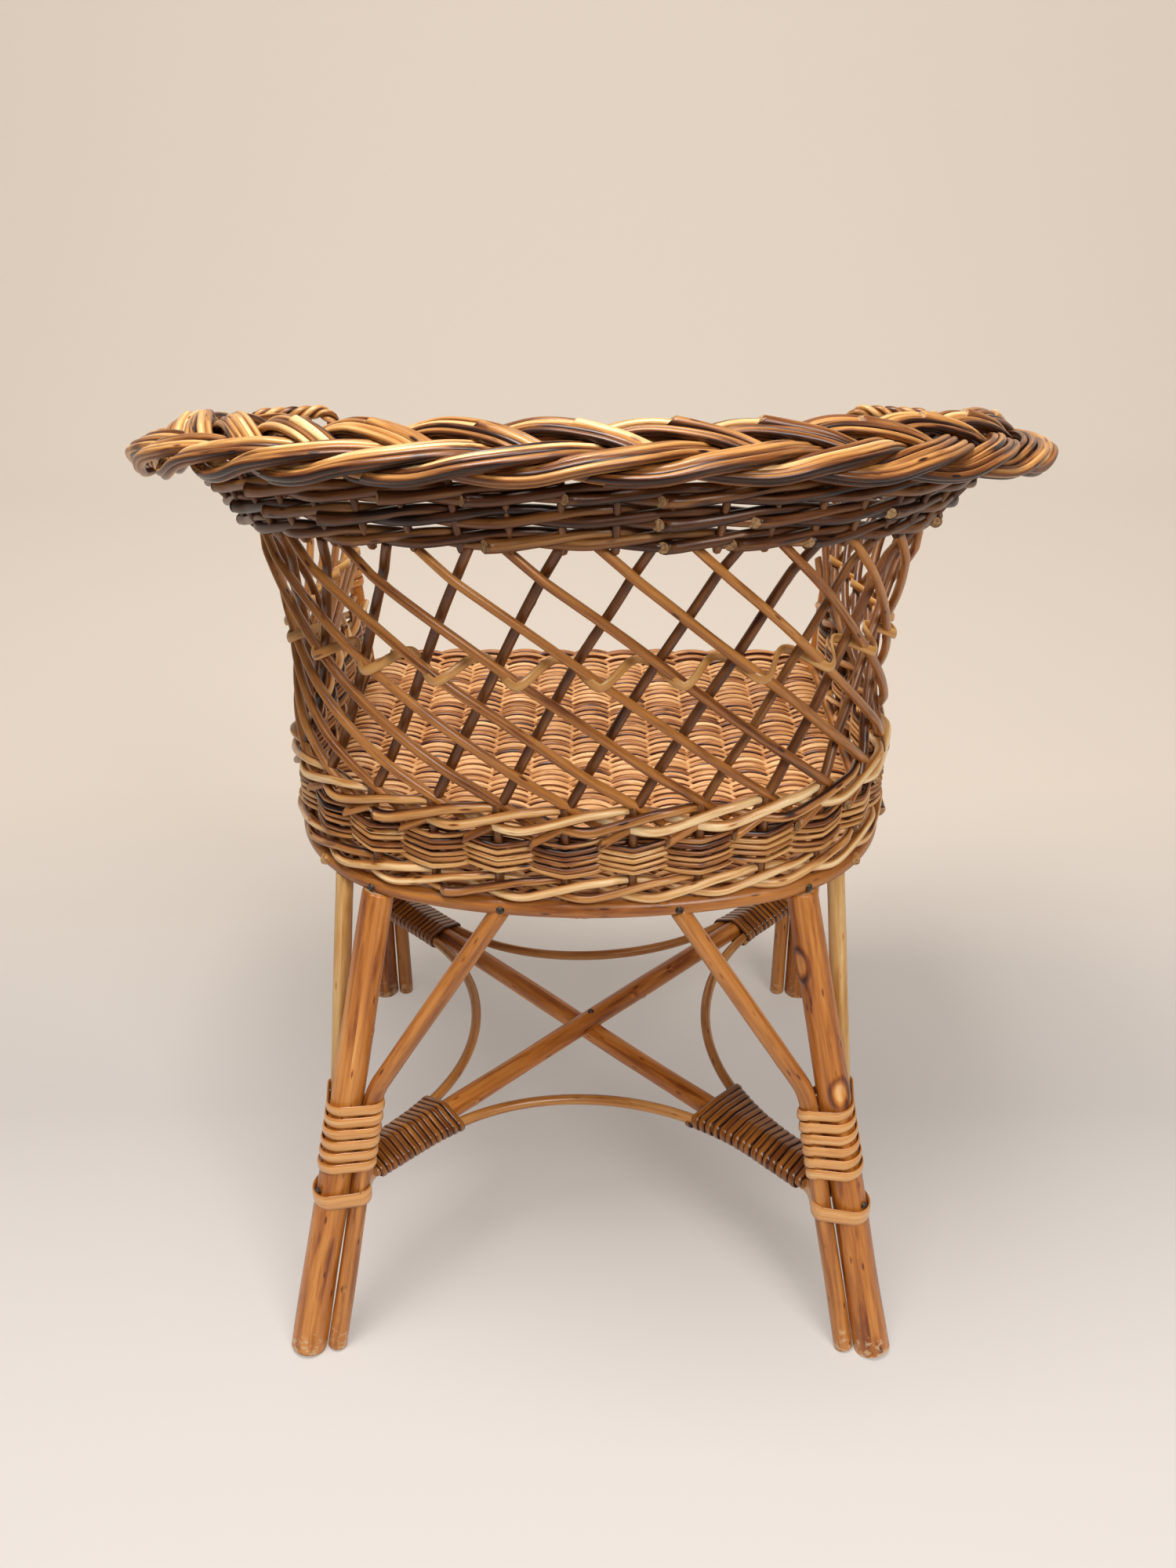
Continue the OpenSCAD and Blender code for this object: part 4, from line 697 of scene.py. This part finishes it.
def stretcher_bindings():
    pairs = {0: (1, 2), 1: (0, 3), 2: (3, 0), 3: (2, 1)}
    for k, corner in enumerate(CORNERS):
        rng = default_rng(120 + k)
        span, turns = [61.5, 80.0, 61.5, 67.7][k], [15, 17, 13, 14][k]
        pitch = span / turns
        w = stretcher_way(k)
        across = left_of(w)
        a = np.linspace(0, 2 * np.pi * turns, turns * 60 + 1)
        uneven = np.interp(a, np.arange(turns + 1) * 2 * np.pi, rng.normal(0, 0.25, turns + 1))
        t = BOW_START + pitch / 2 + (span - pitch / 2) * a / a[-1] + uneven
        slack = rng.uniform(0, 0.5, turns + 2)[(a / (2 * np.pi)).astype(int)]
        grid = np.linspace(t.min() - 1, t.max() + 1, 200)
        bows = [np.stack([np.interp(t, grid, c[:, i]) for i in range(3)], -1)
                for c in (bow_circle(k, j, grid) for j in pairs[k])]
        pole = np.broadcast_to([0, 0, STRETCHER_D / 2], (len(a), 3))
        q = pulled(np.stack([pole] + bows, 1), a, CANE_OFF + 0.3 * slack + tucked(a, 0.6, 1.5))
        p = stretcher_end(k) + w * t[:, None] + across * q[:, :1] + np.array([0, 0, 1]) * q[:, 1:]
        side = across * np.cos(a)[:, None] + np.array([0, 0, 1]) * np.sin(a)[:, None]
        rod = Rod(p, side, CANE_T / 2, pitch * 0.47, tone=0.42)
        make("stretcher_winding_" + corner, [rod], CANE, dark_cane, cane_end,
             "stretcher_binding_" + corner, seed=k)


def smooth(p, times=2):
    """Rounds a coarse path by cutting its corners."""
    for _ in range(times):
        near, far = 0.75 * p[:-1] + 0.25 * p[1:], 0.25 * p[:-1] + 0.75 * p[1:]
        p = np.concatenate([p[:1], np.stack([near, far], 1).reshape(-1, 3), p[-1:]])
    return p


def collars():
    for k, corner in enumerate(CORNERS):
        w = stretcher_way(k)
        a0 = math.atan2(w[1], w[0])
        across = left_of(w)
        z = stretcher_z(k)
        a = a0 + np.radians(np.arange(45, 316, 9.0))
        low = z - 3.8 - 1.5 * np.sin((a - a0) / 2) ** 2
        q = pulled(leg_circles(k, low, 2), a, CANE_OFF)
        run = STRETCHER_D / 2 + CANE_OFF
        ends = [stretcher_end(k) + w * (BOW_START + reach) + m * run * across - [0, 0, drop]
                for m, reach, drop in ((1, 9, 1), (1, -2, 2.5), (-1, -2, 2.5), (-1, 9, 1))]
        p = smooth(np.concatenate([ends[:2], np.c_[q, low], ends[2:]]))
        round_leg = np.stack([np.cos(a), np.sin(a), 0 * a], 1)
        side = smooth(np.concatenate([[across] * 2, round_leg, [-across] * 2]))
        rod = Rod(p, side, CANE_T / 2, 5.3, tone=0.6)
        make("collar_band_" + corner, [rod], CANE, cane_skin, cane_end, "collar_" + corner, seed=k)


leg_bindings()
stretcher_bindings()
collars()


# Seat hoop
# A pole bent into a ring, its ends butted at the middle of the front. It rests on the legs and
# carries the seat and the woven wall.
def seat_hoop():
    s = np.linspace(-hoop.length, hoop.length, 420)
    corner = np.linspace(0, math.pi / 2, 14)[1:]
    x0, y0, r0 = hoop.half - HOOP_FRONT_R, hoop.front, HOOP_FRONT_R
    turn = np.stack([x0 + r0 * np.cos(corner), y0 - r0 * np.sin(corner), np.full(13, SEAT_H)], 1)
    front = np.linspace([x0, HOOP_FRONT_Y, SEAT_H], [0.05, HOOP_FRONT_Y, SEAT_H], 60)[1:]
    tail = np.concatenate([turn, front])
    p = np.concatenate([(tail * [-1, 1, 1])[::-1], hoop.at(s), tail])
    n = len(p)
    rng = default_rng(7)
    r = HOOP_D / 2 * (1 + 0.012 * np.sin(np.arange(n) / 15) + 0.01 * np.sin(np.arange(n) / 6.1))
    spots = [(rng.uniform(0, 1), rng.uniform(0, 1), 0.003, 0.09, 0.35) for _ in range(14)]
    rod = Rod(p, [0, 0, 1], r, tone=0.38, lump=knots(n, 24, spots))
    make("bent_hoop", [rod], circle(24), brace_wood, pole_end, "seat_hoop", seed=5)


seat_hoop()


# Seat
# Thirteen willow rods run from front to back inside the hoop. Peeled weavers go over one and
# under the next from side to side, pressed so close that only the humps over the rods show.
SEAT_Z, SEAT_PITCH, SEAT_RODS = SEAT_H + 1.5, 23.5, 13


def seat_half(y):
    """Half the width inside the hoop at y."""
    s = np.linspace(0, hoop.length, 400)
    line = hoop.at(s, -HOOP_D / 2 - 0.3)
    corner = np.linspace(0, math.pi / 2, 20)
    r = HOOP_FRONT_R - HOOP_D / 2 - 0.3
    x = np.r_[line[:, 0], hoop.half - HOOP_FRONT_R + r * np.cos(corner)]
    yy = np.r_[line[:, 1], hoop.front - r * np.sin(corner)]
    return np.interp(y, yy[::-1], x[::-1])


seat_wood = willow("peeled seat weaver", "421a08 985a2c d0945a eec088 fde4b8",
                   (0.38, 0.6), 0.15, bump=0.2, along=30.0, across=500.0, patch=0.3, specks=0.12,
                   groove_shade=0.5)
rod_end = pith("cut rod end", "c9a272", "7c5430")


def seat():
    x = (np.arange(SEAT_RODS) - (SEAT_RODS - 1) / 2) * SEAT_PITCH
    back = hoop_y(x) - HOOP_D / 2 - 0.5
    front = HOOP_FRONT_Y + HOOP_D / 2 + 0.5
    rods = [Rod(np.linspace([a, b, SEAT_Z], [a, front, SEAT_Z], 40), [0, 0, 1], 2.5) for a, b in zip(x, back)]
    make("seat_cross_rods", rods, circle(10), bow_wood, rod_end, "seat_rods", seed=11)
    rng = default_rng(12)
    pitch, rods = 3.3, []
    ys = np.arange(HOOP_FRONT_Y - 3.6, hoop_y(0) - HOOP_D / 2 - 1.6, pitch)
    for i, y in enumerate(ys):
        front = HOOP_FRONT_Y + HOOP_D / 2 + 2.2
        half = float(seat_half(max(y, front))) - 1.0
        xs = np.linspace(-half, half, max(12, int(2 * half / 3.2)))
        wave = np.cos(np.pi * (xs / SEAT_PITCH + i))
        rise = 3.2 * np.sign(wave) * np.abs(wave) ** 0.75
        drift = 0.35 * np.sin(xs / 31 + rng.uniform(0, 6.28)) + 0.2 * np.sin(xs / 9 + rng.uniform(0, 6.28))
        lift = np.interp(y, [HOOP_FRONT_Y - 4, HOOP_FRONT_Y, front, front + 5], [3.2, 4.6, 2.2, 0.0])
        p = np.stack([xs, y + drift - 0.55 * wave, SEAT_Z + lift + rise * (1 - lift / 9)], 1)
        thick = rng.uniform(0.94, 1.06)
        wide = thick * (1.9 + 0.85 * np.abs(wave))
        rods.append(Rod(p, [0, 0, 1], 1.7 * thick, wide, tone=rng.uniform(0.35, 0.7)))
    make("seat_weavers", rods, circle(8), seat_wood, rod_end, "seat_weave", seed=13)


seat()


# Woven wall
# Upright stakes stand on the hoop. A wale of stout rods is worked at their feet, then eleven
# rows of thin weavers, then another wale that closes the wall. Each rod of a wale passes in
# front of two stakes while it climbs over the rod before it, and behind the third.
STAKE_PITCH, STAKES = 33.2, 12
BASE_Z = SEAT_H + HOOP_D / 2 + 0.3
BASE_D, BASE_ROWS, FINE_D, FINE_ROWS, TOP_D, TOP_ROWS = 5.0, 3, 2.8, 8, 5.6, 3
FINE_Z = BASE_Z + BASE_D * BASE_ROWS + 0.3
TOP_Z = FINE_Z + FINE_D * FINE_ROWS + 0.3
WALL_TOP_Z = TOP_Z + TOP_D * TOP_ROWS


def wall_level(z):
    return Level(hoop.half, hoop.back, HOOP_BACK_R, HOOP_CORNER_R, 0, z, 0, BAND_FRONT_Y)


def stake_s(i):
    return STAKE_PITCH * (np.asarray(i, float) + 0.5) - 4.5


wall_wood = willow("varnished wall rod", "260f04 7a4018 b87a3c dca666 fad8a4",
                   (0.26, 0.46), 0.28, bump=0.3, along=20.0, across=360.0, patch=0.42, groove_shade=0.5)
dark_wood = willow("dark willow stake", "200e05 522c12 784820 96612f b58048",
                   (0.3, 0.5), 0.35, bump=0.3, along=20.0, across=360.0)


def wall_stakes():
    level = wall_level(0)
    s = stake_s(np.arange(-STAKES, STAKES))
    s = s[np.abs(s) < level.length - 2]
    rods = [Rod(np.linspace(q + [0, 0, BASE_Z], q + [0, 0, WALL_TOP_Z - 1], 24), [0, 1, 0], 2.5)
            for q in level.at(s)]
    make("upright_stakes", rods, circle(12), dark_wood, rod_end, "wall_stakes", seed=21)


def wale_rods(level, foot, rows, d, pitch, depth, seed, tones, butts=0.3, thick=1.15, wave=0.25):
    """A wale: three rods take turns, each in front of two stakes and behind the third, so that
    rod k is at the phase f = (s / pitch + k) mod 3, inside at f = 0 and outside from 0.7 to 2.3.
    On the outside it climbs from the lowest row to the highest, against s. Each rod runs three to
    nine stakes, then a new one starts, and butts is the share whose cut end stays in sight."""
    rng = default_rng(seed)
    rods, half = [], (rows - 1) * d / 2
    bulge = [0, 0.3, 0.85, 1.5, 2.15, 2.7, 3], [-1, -0.6, 1.0, 0.86, 1.0, -0.6, -1]
    ascent = [0, 0.45, 1.0, 1.5, 2.0, 2.45, 3], [0.1, -0.75, -1, -0.1, 0.95, 1.0, 0.1]
    soft = np.hanning(9) / np.hanning(9).sum()
    for k in range(3):
        stop, show = level.length - 2, False
        while stop > -level.length + 20:
            shown, show = show, rng.uniform() < butts
            place = 3 * round((stop / pitch - k) / 3 - rng.integers(1, 4)) + k - (0.8 if show else 0.1)
            start = max(-level.length + 2, place * pitch + rng.uniform(-2, 2))
            s = np.linspace(stop, start, max(20, int((stop - start) / 2.6)))
            f = (-s / pitch + k) % 3
            out = depth * np.interp(f, *bulge)
            climb = np.interp(f, *ascent)
            out, climb = [np.convolve(np.pad(v, 4, "edge"), soft, "valid") for v in (out, climb)]
            u = (stop - s) / (stop - start)
            lift = np.interp(stop - s, [0, 16], [2.4 if shown else -1.0, 0.0])
            taper = np.interp(stop - s, [0, 10, 40], [thick if shown else 1.05, 1.08, 1.0])
            r = d / 2 * rng.uniform(0.9, 1.05) * taper * (1 - 0.14 * u)
            up = foot + rows * d / 2 + half * climb + wave * np.sin(s / 29 + k)
            p = level.at(s, out + lift * (out > 0), up)
            rods.append(Rod(p, level.outward(s), r, tone=rng.uniform(*tones), cut=0.8))
            stop = start + rng.uniform(0, 4) if start > -level.length + 20 else start - 1
    return rods


def wall():
    base = wall_level(BASE_Z)
    rods = wale_rods(base, 0.0, BASE_ROWS, BASE_D * 0.98, STAKE_PITCH, 4.2, 31, (0.42, 1.0))
    make("lower_wale", rods, circle(12), wall_wood, rod_end, "wall_base_wale", seed=31)

    rng = default_rng(41)
    fine = wall_level(FINE_Z)
    edge = fine.length - 0.5
    s = np.linspace(-edge, edge, 620)
    rods, rows = [], 11
    for i in range(rows):
        cell = (s + 4.5) / STAKE_PITCH - 0.5 + i
        swing = np.abs(2 * (cell / 2 % 1) - 1) * 2 - 1
        out = 4.3 * np.sign(swing) * np.abs(swing) ** 0.8 * (1 - 0.1 * swing ** 2)
        droop = 0.06 * (1 + np.sin(s / 45 + 1.3)) * i / rows
        dip = 2.0 * np.maximum(swing, 0) ** (1.1 if i % 2 else 0.6)
        up = 2.6 + (FINE_D * FINE_ROWS - 3.6) * (i / (rows - 1) - droop) - dip + 0.3 * np.sin(s / 23 + 2 * i)
        r = FINE_D / 2 * rng.uniform(0.94, 1.16)
        rods.append(Rod(fine.at(s, out, up), fine.outward(s), r, tone=rng.uniform(0.25, 0.85)))
    make("fine_weavers", rods, circle(8), wall_wood, rod_end, "wall_weave", seed=41)

    top = wall_level(TOP_Z)
    rods = wale_rods(top, 0.0, TOP_ROWS, TOP_D * 0.97, STAKE_PITCH, 4.7, 51, (0.5, 1.05))
    make("closing_wale", rods, circle(12), wall_wood, rod_end, "wall_top_wale", seed=51)


wall_stakes()
wall()


# Lattice
# Rods pushed down beside the stakes lean one way on the outside and the other way on the
# inside, where they are darker. A flat skein is twined round the outer rods at half height.
LATTICE_D, LAYER = 5.2, 6.0
RIM_W, RIM_T, STRAND_W, STRANDS, PERIOD = 50.0, 23.2, 14.4, 5, 230.0
RIM_A, RIM_B = RIM_W / 2 - STRAND_W / 2, RIM_T * 0.275
RIM_REACH = RIM_A + STRAND_W / 2 * math.cos(math.radians(30))
RIM_HALF = OVERALL_W / 2 - RIM_REACH
RIM_Z = OVERALL_H - 13 - (BACK_Y - RIM_REACH) * math.tan(math.radians(12.9))
rim = Level(RIM_HALF, BACK_Y - RIM_REACH, 1.105 * RIM_HALF, 0.93 * RIM_HALF, 270, RIM_Z, 12.9, BAND_FRONT_Y)
HEAD_Z = RIM_Z - 42.2
lattice_foot = wall_level(WALL_TOP_Z + LATTICE_D / 2)
lattice_mid = Level(156, BACK_Y - 42, 270, 130, 0, lerp(WALL_TOP_Z, HEAD_Z, 0.4935), 8.2, BAND_FRONT_Y)
lattice_head = Level(170, BACK_Y - 31, 275, 150, 1300, HEAD_Z, 11.7, BAND_FRONT_Y)


def lattice_at(s, t):
    """The surface through the three levels: a parabola in t from foot (0) to head (1)."""
    t = np.asarray(t, float)[..., None]
    return (lattice_foot.at(s) * (1 - t) * (1 - 2 * t) + lattice_mid.at(s) * 4 * t * (1 - t)
            + lattice_head.at(s) * t * (2 * t - 1))


def lattice_out(s, t):
    rise, run = lattice_at(s, t + 0.02) - lattice_at(s, t - 0.02), lattice_at(s + 1, t) - lattice_at(s - 1, t)
    return unit(np.cross(rise, run))


FOOT_END, HEAD_END = lattice_foot.length - 1.5 * LATTICE_D, lattice_head.length - 1.5 * LATTICE_D
TO_POST = 6.0


def crossed(s, lean, side, past=0.0):
    """Where a rod runs out over the front edge, or that far past it."""
    return (side * (FOOT_END + past) - s) / (lean - side * (HEAD_END - FOOT_END))


def lattice_rod(s, lean, off, rng, tone):
    """A rod that starts at s and travels lean sideways on its way up, or None where too little
    of it lies between the front edges."""
    one, two = (-1, 1) if lean > 0 else (1, -1)
    low, high = max(0.0, crossed(s, lean, one)), min(1.0, crossed(s, lean, two))
    if high - low < 0.22:
        return None
    low, high = max(0.0, crossed(s, lean, one, TO_POST)), min(1.0, crossed(s, lean, two, TO_POST))
    below = -0.12 if low == 0 else 0.0
    above = 0.03 if high == 1 else 0.0
    t = np.linspace(low + below, high + above, 56)
    path = s + lean * t
    push = off * np.interp(t, [-0.12, 0.0, 0.1, 0.9, 1.03], [-0.3, 0.3, 1.0, 1.0, -0.3])
    p = lattice_at(path, t) + push[:, None] * lattice_out(path, t)
    r = LATTICE_D / 2 * rng.uniform(0.88, 1.02) * np.linspace(1.03, 0.9, 56)
    spots = [(rng.uniform(0.15, 0.9), rng.uniform(0, 1), 0.012, 0.12, 0.3) for _ in range(2)]
    return Rod(wander(p, 0.7, rng), lattice_out(path, t), r, tone=tone, lump=knots(56, 14, spots), cut=0.6)


rod_wood = willow("varnished lattice rod", "3a1a08 7a431a a4662c c6843e e6b070",
                  (0.27, 0.46), 0.25, bump=0.3, patch=0.3, specks=0.6)
inner_wood = willow("dark lattice rod", "220f05 502a10 74431c 91602e b3824a",
                    (0.28, 0.48), 0.25, bump=0.3, patch=0.3, specks=0.6)


def lattice():
    rng = default_rng(61)
    outer = [lattice_rod(s, 0.22 * s + 175, LAYER / 2, rng, rng.uniform(0.4, 0.66))
             for s in STAKE_PITCH * (np.arange(-STAKES - 3, STAKES) + 0.5)]
    stubs = []
    for s in STAKE_PITCH * (np.arange(-STAKES, STAKES) + 0.5):
        # the foot of each outer rod comes out again below the closing wale and is cut on a slant
        u = np.linspace(0, 1, 12)
        up = lerp(-3.4, 6.5, u) + rng.normal(0, 0.5)
        p = wall_level(TOP_Z).at(s - 8 + 20 * (1 - u), lerp(4.6, 0.6, u), up)
        if abs(s) < FOOT_END - 25:
            r = 2.3 * rng.uniform(0.88, 1.05)
            stubs.append(Rod(p, [0, 0, 1], r, tone=rng.uniform(0.45, 0.7), cut=0.9))
    make("lattice_rods_outside", [r for r in outer if r] + stubs, circle(14), rod_wood, rod_end,
         "lattice_outer_rods", seed=61)
    inner = [lattice_rod(s, 0.16 * s - 72, -LAYER / 2, rng, rng.uniform(0.4, 0.62))
             for s in STAKE_PITCH * (np.arange(-STAKES, STAKES + 1) + 0.5) - 9]
    make("lattice_rods_inside", [r for r in inner if r], circle(14), inner_wood, rod_end,
         "lattice_inner_rods", seed=62)


def twining():
    stops = STAKE_PITCH * (np.arange(-STAKES - 1, STAKES - 3) + 0.5)
    stops = stops + (0.22 * stops + 175) / 2
    s = np.linspace(stops[0], stops[-1], 900)
    cell = np.interp(s, stops, np.arange(len(stops)))
    share = cell % 1
    front = np.cos(2 * np.pi * share)
    off = np.where(front > 0, 7.0, 6.0) * front + 0.3
    rise = 6.5 * np.sin(np.pi * share) ** 1.3
    half = 0.5 + 0 * s
    face = lattice_out(s, half)
    p = lattice_at(s, half) + off[:, None] * face + np.stack([0 * s, 0 * s, rise], 1)
    make("twined_skein", [Rod(p, face, 0.75, 2.4, tone=0.55)], CANE, bow_wood, cane_end,
         "lattice_twining", seed=63)


lattice()
twining()


# Upper wales
# Three wales of stout rods hold the tips of the lattice and step outwards under the rim. The
# tips carry on through them into the plait. Most new rods show their sawn butt.
WALE_D = 4.6


def upper_level(i):
    return Level(173.5 + 9.5 * i, BACK_Y - 30 + 3.5 * i, 276 - 5 * i, 151 + 10 * i, 1000 - 200 * i,
                 HEAD_Z + LATTICE_D / 2 + 0.96 * WALE_D + 0.3 + 9 * i, 11.5 + 0.3 * i, BAND_FRONT_Y + 3)


# Painted shade: these stops are much darker than the wall's, for the shade under the overhanging rim.
shaded_wale_wood = willow("wale rod darkened as painted shade", "160802 43210c 70411c 91602e bd8e56",
                   (0.28, 0.5), 0.22, bump=0.3, patch=0.45, groove_shade=0.4)


def tips():
    """The tips of the lattice rods, from its head through the wales into the plait. At each level
    they stand at the same share of its length."""
    rng = default_rng(75)
    share = np.linspace(-0.985, 0.985, 40)
    turns = [(lattice_head, 1.5), (upper_level(0), -WALE_D), (upper_level(1), -WALE_D),
             (upper_level(2), -WALE_D), (rim, -4.0)]
    paths = np.stack([level.at(share * level.length, 0.0, up) for level, up in turns], 1)
    paths = [smooth(p, 3) for p in paths]
    rods = [Rod(p, [0, 1, 0], np.linspace(2.1, 1.7, len(p)), tone=rng.uniform(0.3, 0.6)) for p in paths]
    make("lattice_tips", rods, circle(8), inner_wood, rod_end, "lattice_outer_rods", seed=75)


def upper_wales():
    for i, row in enumerate(("lower", "middle", "top")):
        d = WALE_D * 1.16
        rods = wale_rods(upper_level(i), -d, 2, d, 35.0 + 2 * i, 3.9, 70 + i, (0.22, 0.74), 0.85, 1.2, 0.6)
        make("flared_wale_" + row, rods, circle(12), shaded_wale_wood, rod_end, "upper_wale_" + row,
             seed=71 + i)


tips()
upper_wales()


# Plaited rim
# Five strands of several rods each are plaited flat round the rim: each runs over the others
# from an edge to the middle and under them to the other edge. Where a rod runs out, a new one
# is laid in, and one rod of each strand shows its slanted butt near the inner edge.
RIM_ROLL, RIM_FLAT, RIM_SINK = (10.0, 22.0), (0.55, 0.95), (3.0, 1.2)


def rim_strand(s, k, spread, lift):
    """Points of a rod in strand k at the lengths s: q is a whole turn for each period and a fifth
    of one for each strand, across by a sin q and up by b sin 2q with its crests broadened.
    spread is the rod's place across its strand, lift above it. The plait lies flatter over the
    back than round the sides, where it also rolls farther down."""
    q = 2 * np.pi * (s / PERIOD + k / STRANDS)
    angle, m = rim.angle(s), np.where(s < 0, -1.0, 1.0)
    out = np.stack([m * np.sin(angle), np.cos(angle), 0 * s], 1)
    z = np.array([0, 0, 1.0])
    side = np.clip((angle - 0.35) / 0.9, 0, 1)[:, None]
    roll = np.radians(lerp(*RIM_ROLL, side))
    across = out * np.cos(roll) - z * np.sin(roll)
    up = out * np.sin(roll) + z * np.cos(roll)
    height = lerp(*RIM_FLAT, side[:, 0]) * RIM_B * np.tanh(1.3 * np.sin(2 * q)) / math.tanh(1.3)
    height = height - lerp(*RIM_SINK, side[:, 0])
    base = rim.at(s) + (RIM_A * np.sin(q))[:, None] * across + height[:, None] * up
    t = unit(np.gradient(base, axis=0))
    wide = unit(np.cross(t, up))
    return base + spread[:, None] * wide + lift[:, None] * up, up


rim_wood = willow("varnished rim rod", "2b1206 7a451e bc8244 e0ae6e fbdfac",
                  (0.26, 0.46), 0.28, bump=0.32, patch=0.45, specks=0.55, groove_shade=0.38)


LANES = ((-5.3, 1.3), (-1.78, 1.8), (1.78, 1.7), (5.3, 1.3), (-3.2, -1.3), (3.2, -1.3))


def plaited_rim():
    rng = default_rng(81)
    rods, end = [], rim.length - 1
    for k in range(STRANDS):
        for lane, (place, high) in enumerate(LANES):
            # one rod of each strand starts in sight, where the strand has come up at the inner
            # edge, and the others start where their strand is under the rest
            butt = lane == 1
            stop, turns = end, 1 if butt else 1 + (lane + k) % 2
            phase = k / STRANDS + (0.37 if butt else 0.62)
            while stop > -end + 20:
                first = math.floor(stop / PERIOD + phase - 0.2)
                start = (first - turns + 1 - phase) * PERIOD + rng.uniform(-6, 6)
                start, turns = max(-end, start if stop - start > 90 else start - PERIOD), 1 if butt else 2
                if start < -end + 60:
                    start = -end
                s = np.linspace(stop, start, max(24, int((stop - start) / 3.4)))
                run, fresh = stop - s, butt and stop < end
                spread = place + 0.4 * np.sin(s / 24 + 2 * lane + k) + rng.normal(0, 0.2)
                lift = high + 0.3 * np.sin(s / 31 + 3 * lane)
                lift = lift + np.interp(run, [0, 16], [0.9 if fresh else -0.5, 0.0])
                p, up = rim_strand(s, k, spread, lift)
                wide = [1.45, 1.38, 1.05, 0.86] if fresh else [1.08, 1.05, 1.0, 0.88]
                taper = np.interp(run, [0, 14, 70, 420], wide)
                tone = rng.uniform(0.2, 0.76) + (0.12 if butt else 0.0)
                rods.append(Rod(p, up, 1.88 * rng.uniform(0.9, 1.06) * taper, tone=tone, cut=0.9))
                stop = start + rng.uniform(0, 5) if start > -end else -end - 1
    make("plait", rods, circle(12), rim_wood, rod_end, "rim_plait", seed=81)


plaited_rim()


# Arm fronts
# A post stands on the hoop at the front of each arm, its upper part bound with cane.
# A rope of twisted rods comes over its head and closes the front end of the rim.
POST_D = 9.2
POST_Y = BAND_FRONT_Y - POST_D / 2 - CANE_OFF - CANE_T / 2 - 0.9
POST_FOOT = np.array([hoop.half - 1.5, POST_Y, SEAT_H + HOOP_D / 2 + 0.1])
BORDER_Z = OVERALL_H - 69.5 - 4.5
POST_HEAD = np.array([hoop.half + 9.0, POST_Y, BORDER_Z - 30])


def posts():
    for side, m in (("left", 1), ("right", -1)):
        flip = np.array([m, 1, 1])
        p = np.linspace(POST_FOOT, POST_HEAD, 60) * flip
        rod = Rod(p, [0, 1, 0], POST_D / 2, tone=0.5)
        make("post_" + side, [rod], circle(24), pole_wood, pole_end, "arm_post_" + side,
             seed=90 + m)
        turns, pitch = 13, 6.4
        t = np.linspace(0, 2 * np.pi * turns, turns * 60 + 1)
        rng = default_rng(95 + m)
        z = POST_HEAD[2] - 4 - turns * pitch + pitch * t / (2 * np.pi) + 0.7 * np.sin(t)
        axis = lerp(POST_FOOT, POST_HEAD, ((z - POST_FOOT[2]) / (POST_HEAD[2] - POST_FOOT[2]))[:, None])
        out = np.stack([np.cos(t), np.sin(t), 0 * t], 1)
        off = POST_D / 2 + CANE_OFF - 0.4 + tucked(t, 0.6, 1.4)
        p = axis + off[:, None] * out + rng.normal(0, 0.02, (1, 3))
        rod = Rod(p * flip, out * flip, CANE_T / 2, 2.9, tone=0.55)
        make("post_winding_" + side, [rod], CANE, cane_skin, cane_end, "post_binding_" + side,
             seed=96 + m)


def borders():
    """Three rods twisted round each other along the bent path of the border."""
    for side, m in (("left", 1), ("right", -1)):
        x0, x1, z1 = POST_HEAD[0] - 1.5, OVERALL_W / 2 - 26.4, BORDER_Z
        turns = ((x0, POST_HEAD[2] + 0.3), (x0, z1), (x1, z1 - 3), (x1, z1 - 24), (x1 - 30, z1 - 27))
        path = bent([[x, POST_Y, z] for x, z in turns], 9, 1.5)
        run = np.r_[0, np.cumsum(np.linalg.norm(np.diff(path, axis=0), axis=1))]
        t = unit(np.gradient(path, axis=0))
        y = np.array([0, 1.0, 0])
        x = np.cross(t, y)
        rods = []
        for k in range(3):
            a = 2 * np.pi * (run / 26 + k / 3)
            off = np.cos(a)[:, None] * x + np.sin(a)[:, None] * y
            p = path + 2.25 * off
            rods.append(Rod(p * [m, 1, 1], off * [m, 1, 1], 2.2, tone=0.45 + 0.12 * k))
        make("rope_border_" + side, rods, circle(12), rim_wood, rod_end, "arm_border_" + side,
             seed=98 + m)


posts()
borders()


# Nails
# Dark round iron heads at the stretcher ends, the crossing and the hoop, kept from the CAD model.
def iron():
    g = Graph("dark iron")
    spots = g.noise(g.add("TexCoord")["Object"], 700.0, 4.0)
    colour = g.ramp(spots, [(0.35, linear("2c2826")), (0.7, linear("6b6058"))])
    return g.shader(Base_Color=colour, Metallic=0.8, Roughness=g.span(spots, 0.3, 0.7, 0.35, 0.6),
                    Normal=g.bump(spots, 0.4, 0.0003))


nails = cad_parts["nails"]
dark_iron = iron()
for place in nails.material_slots:
    place.material = dark_iron
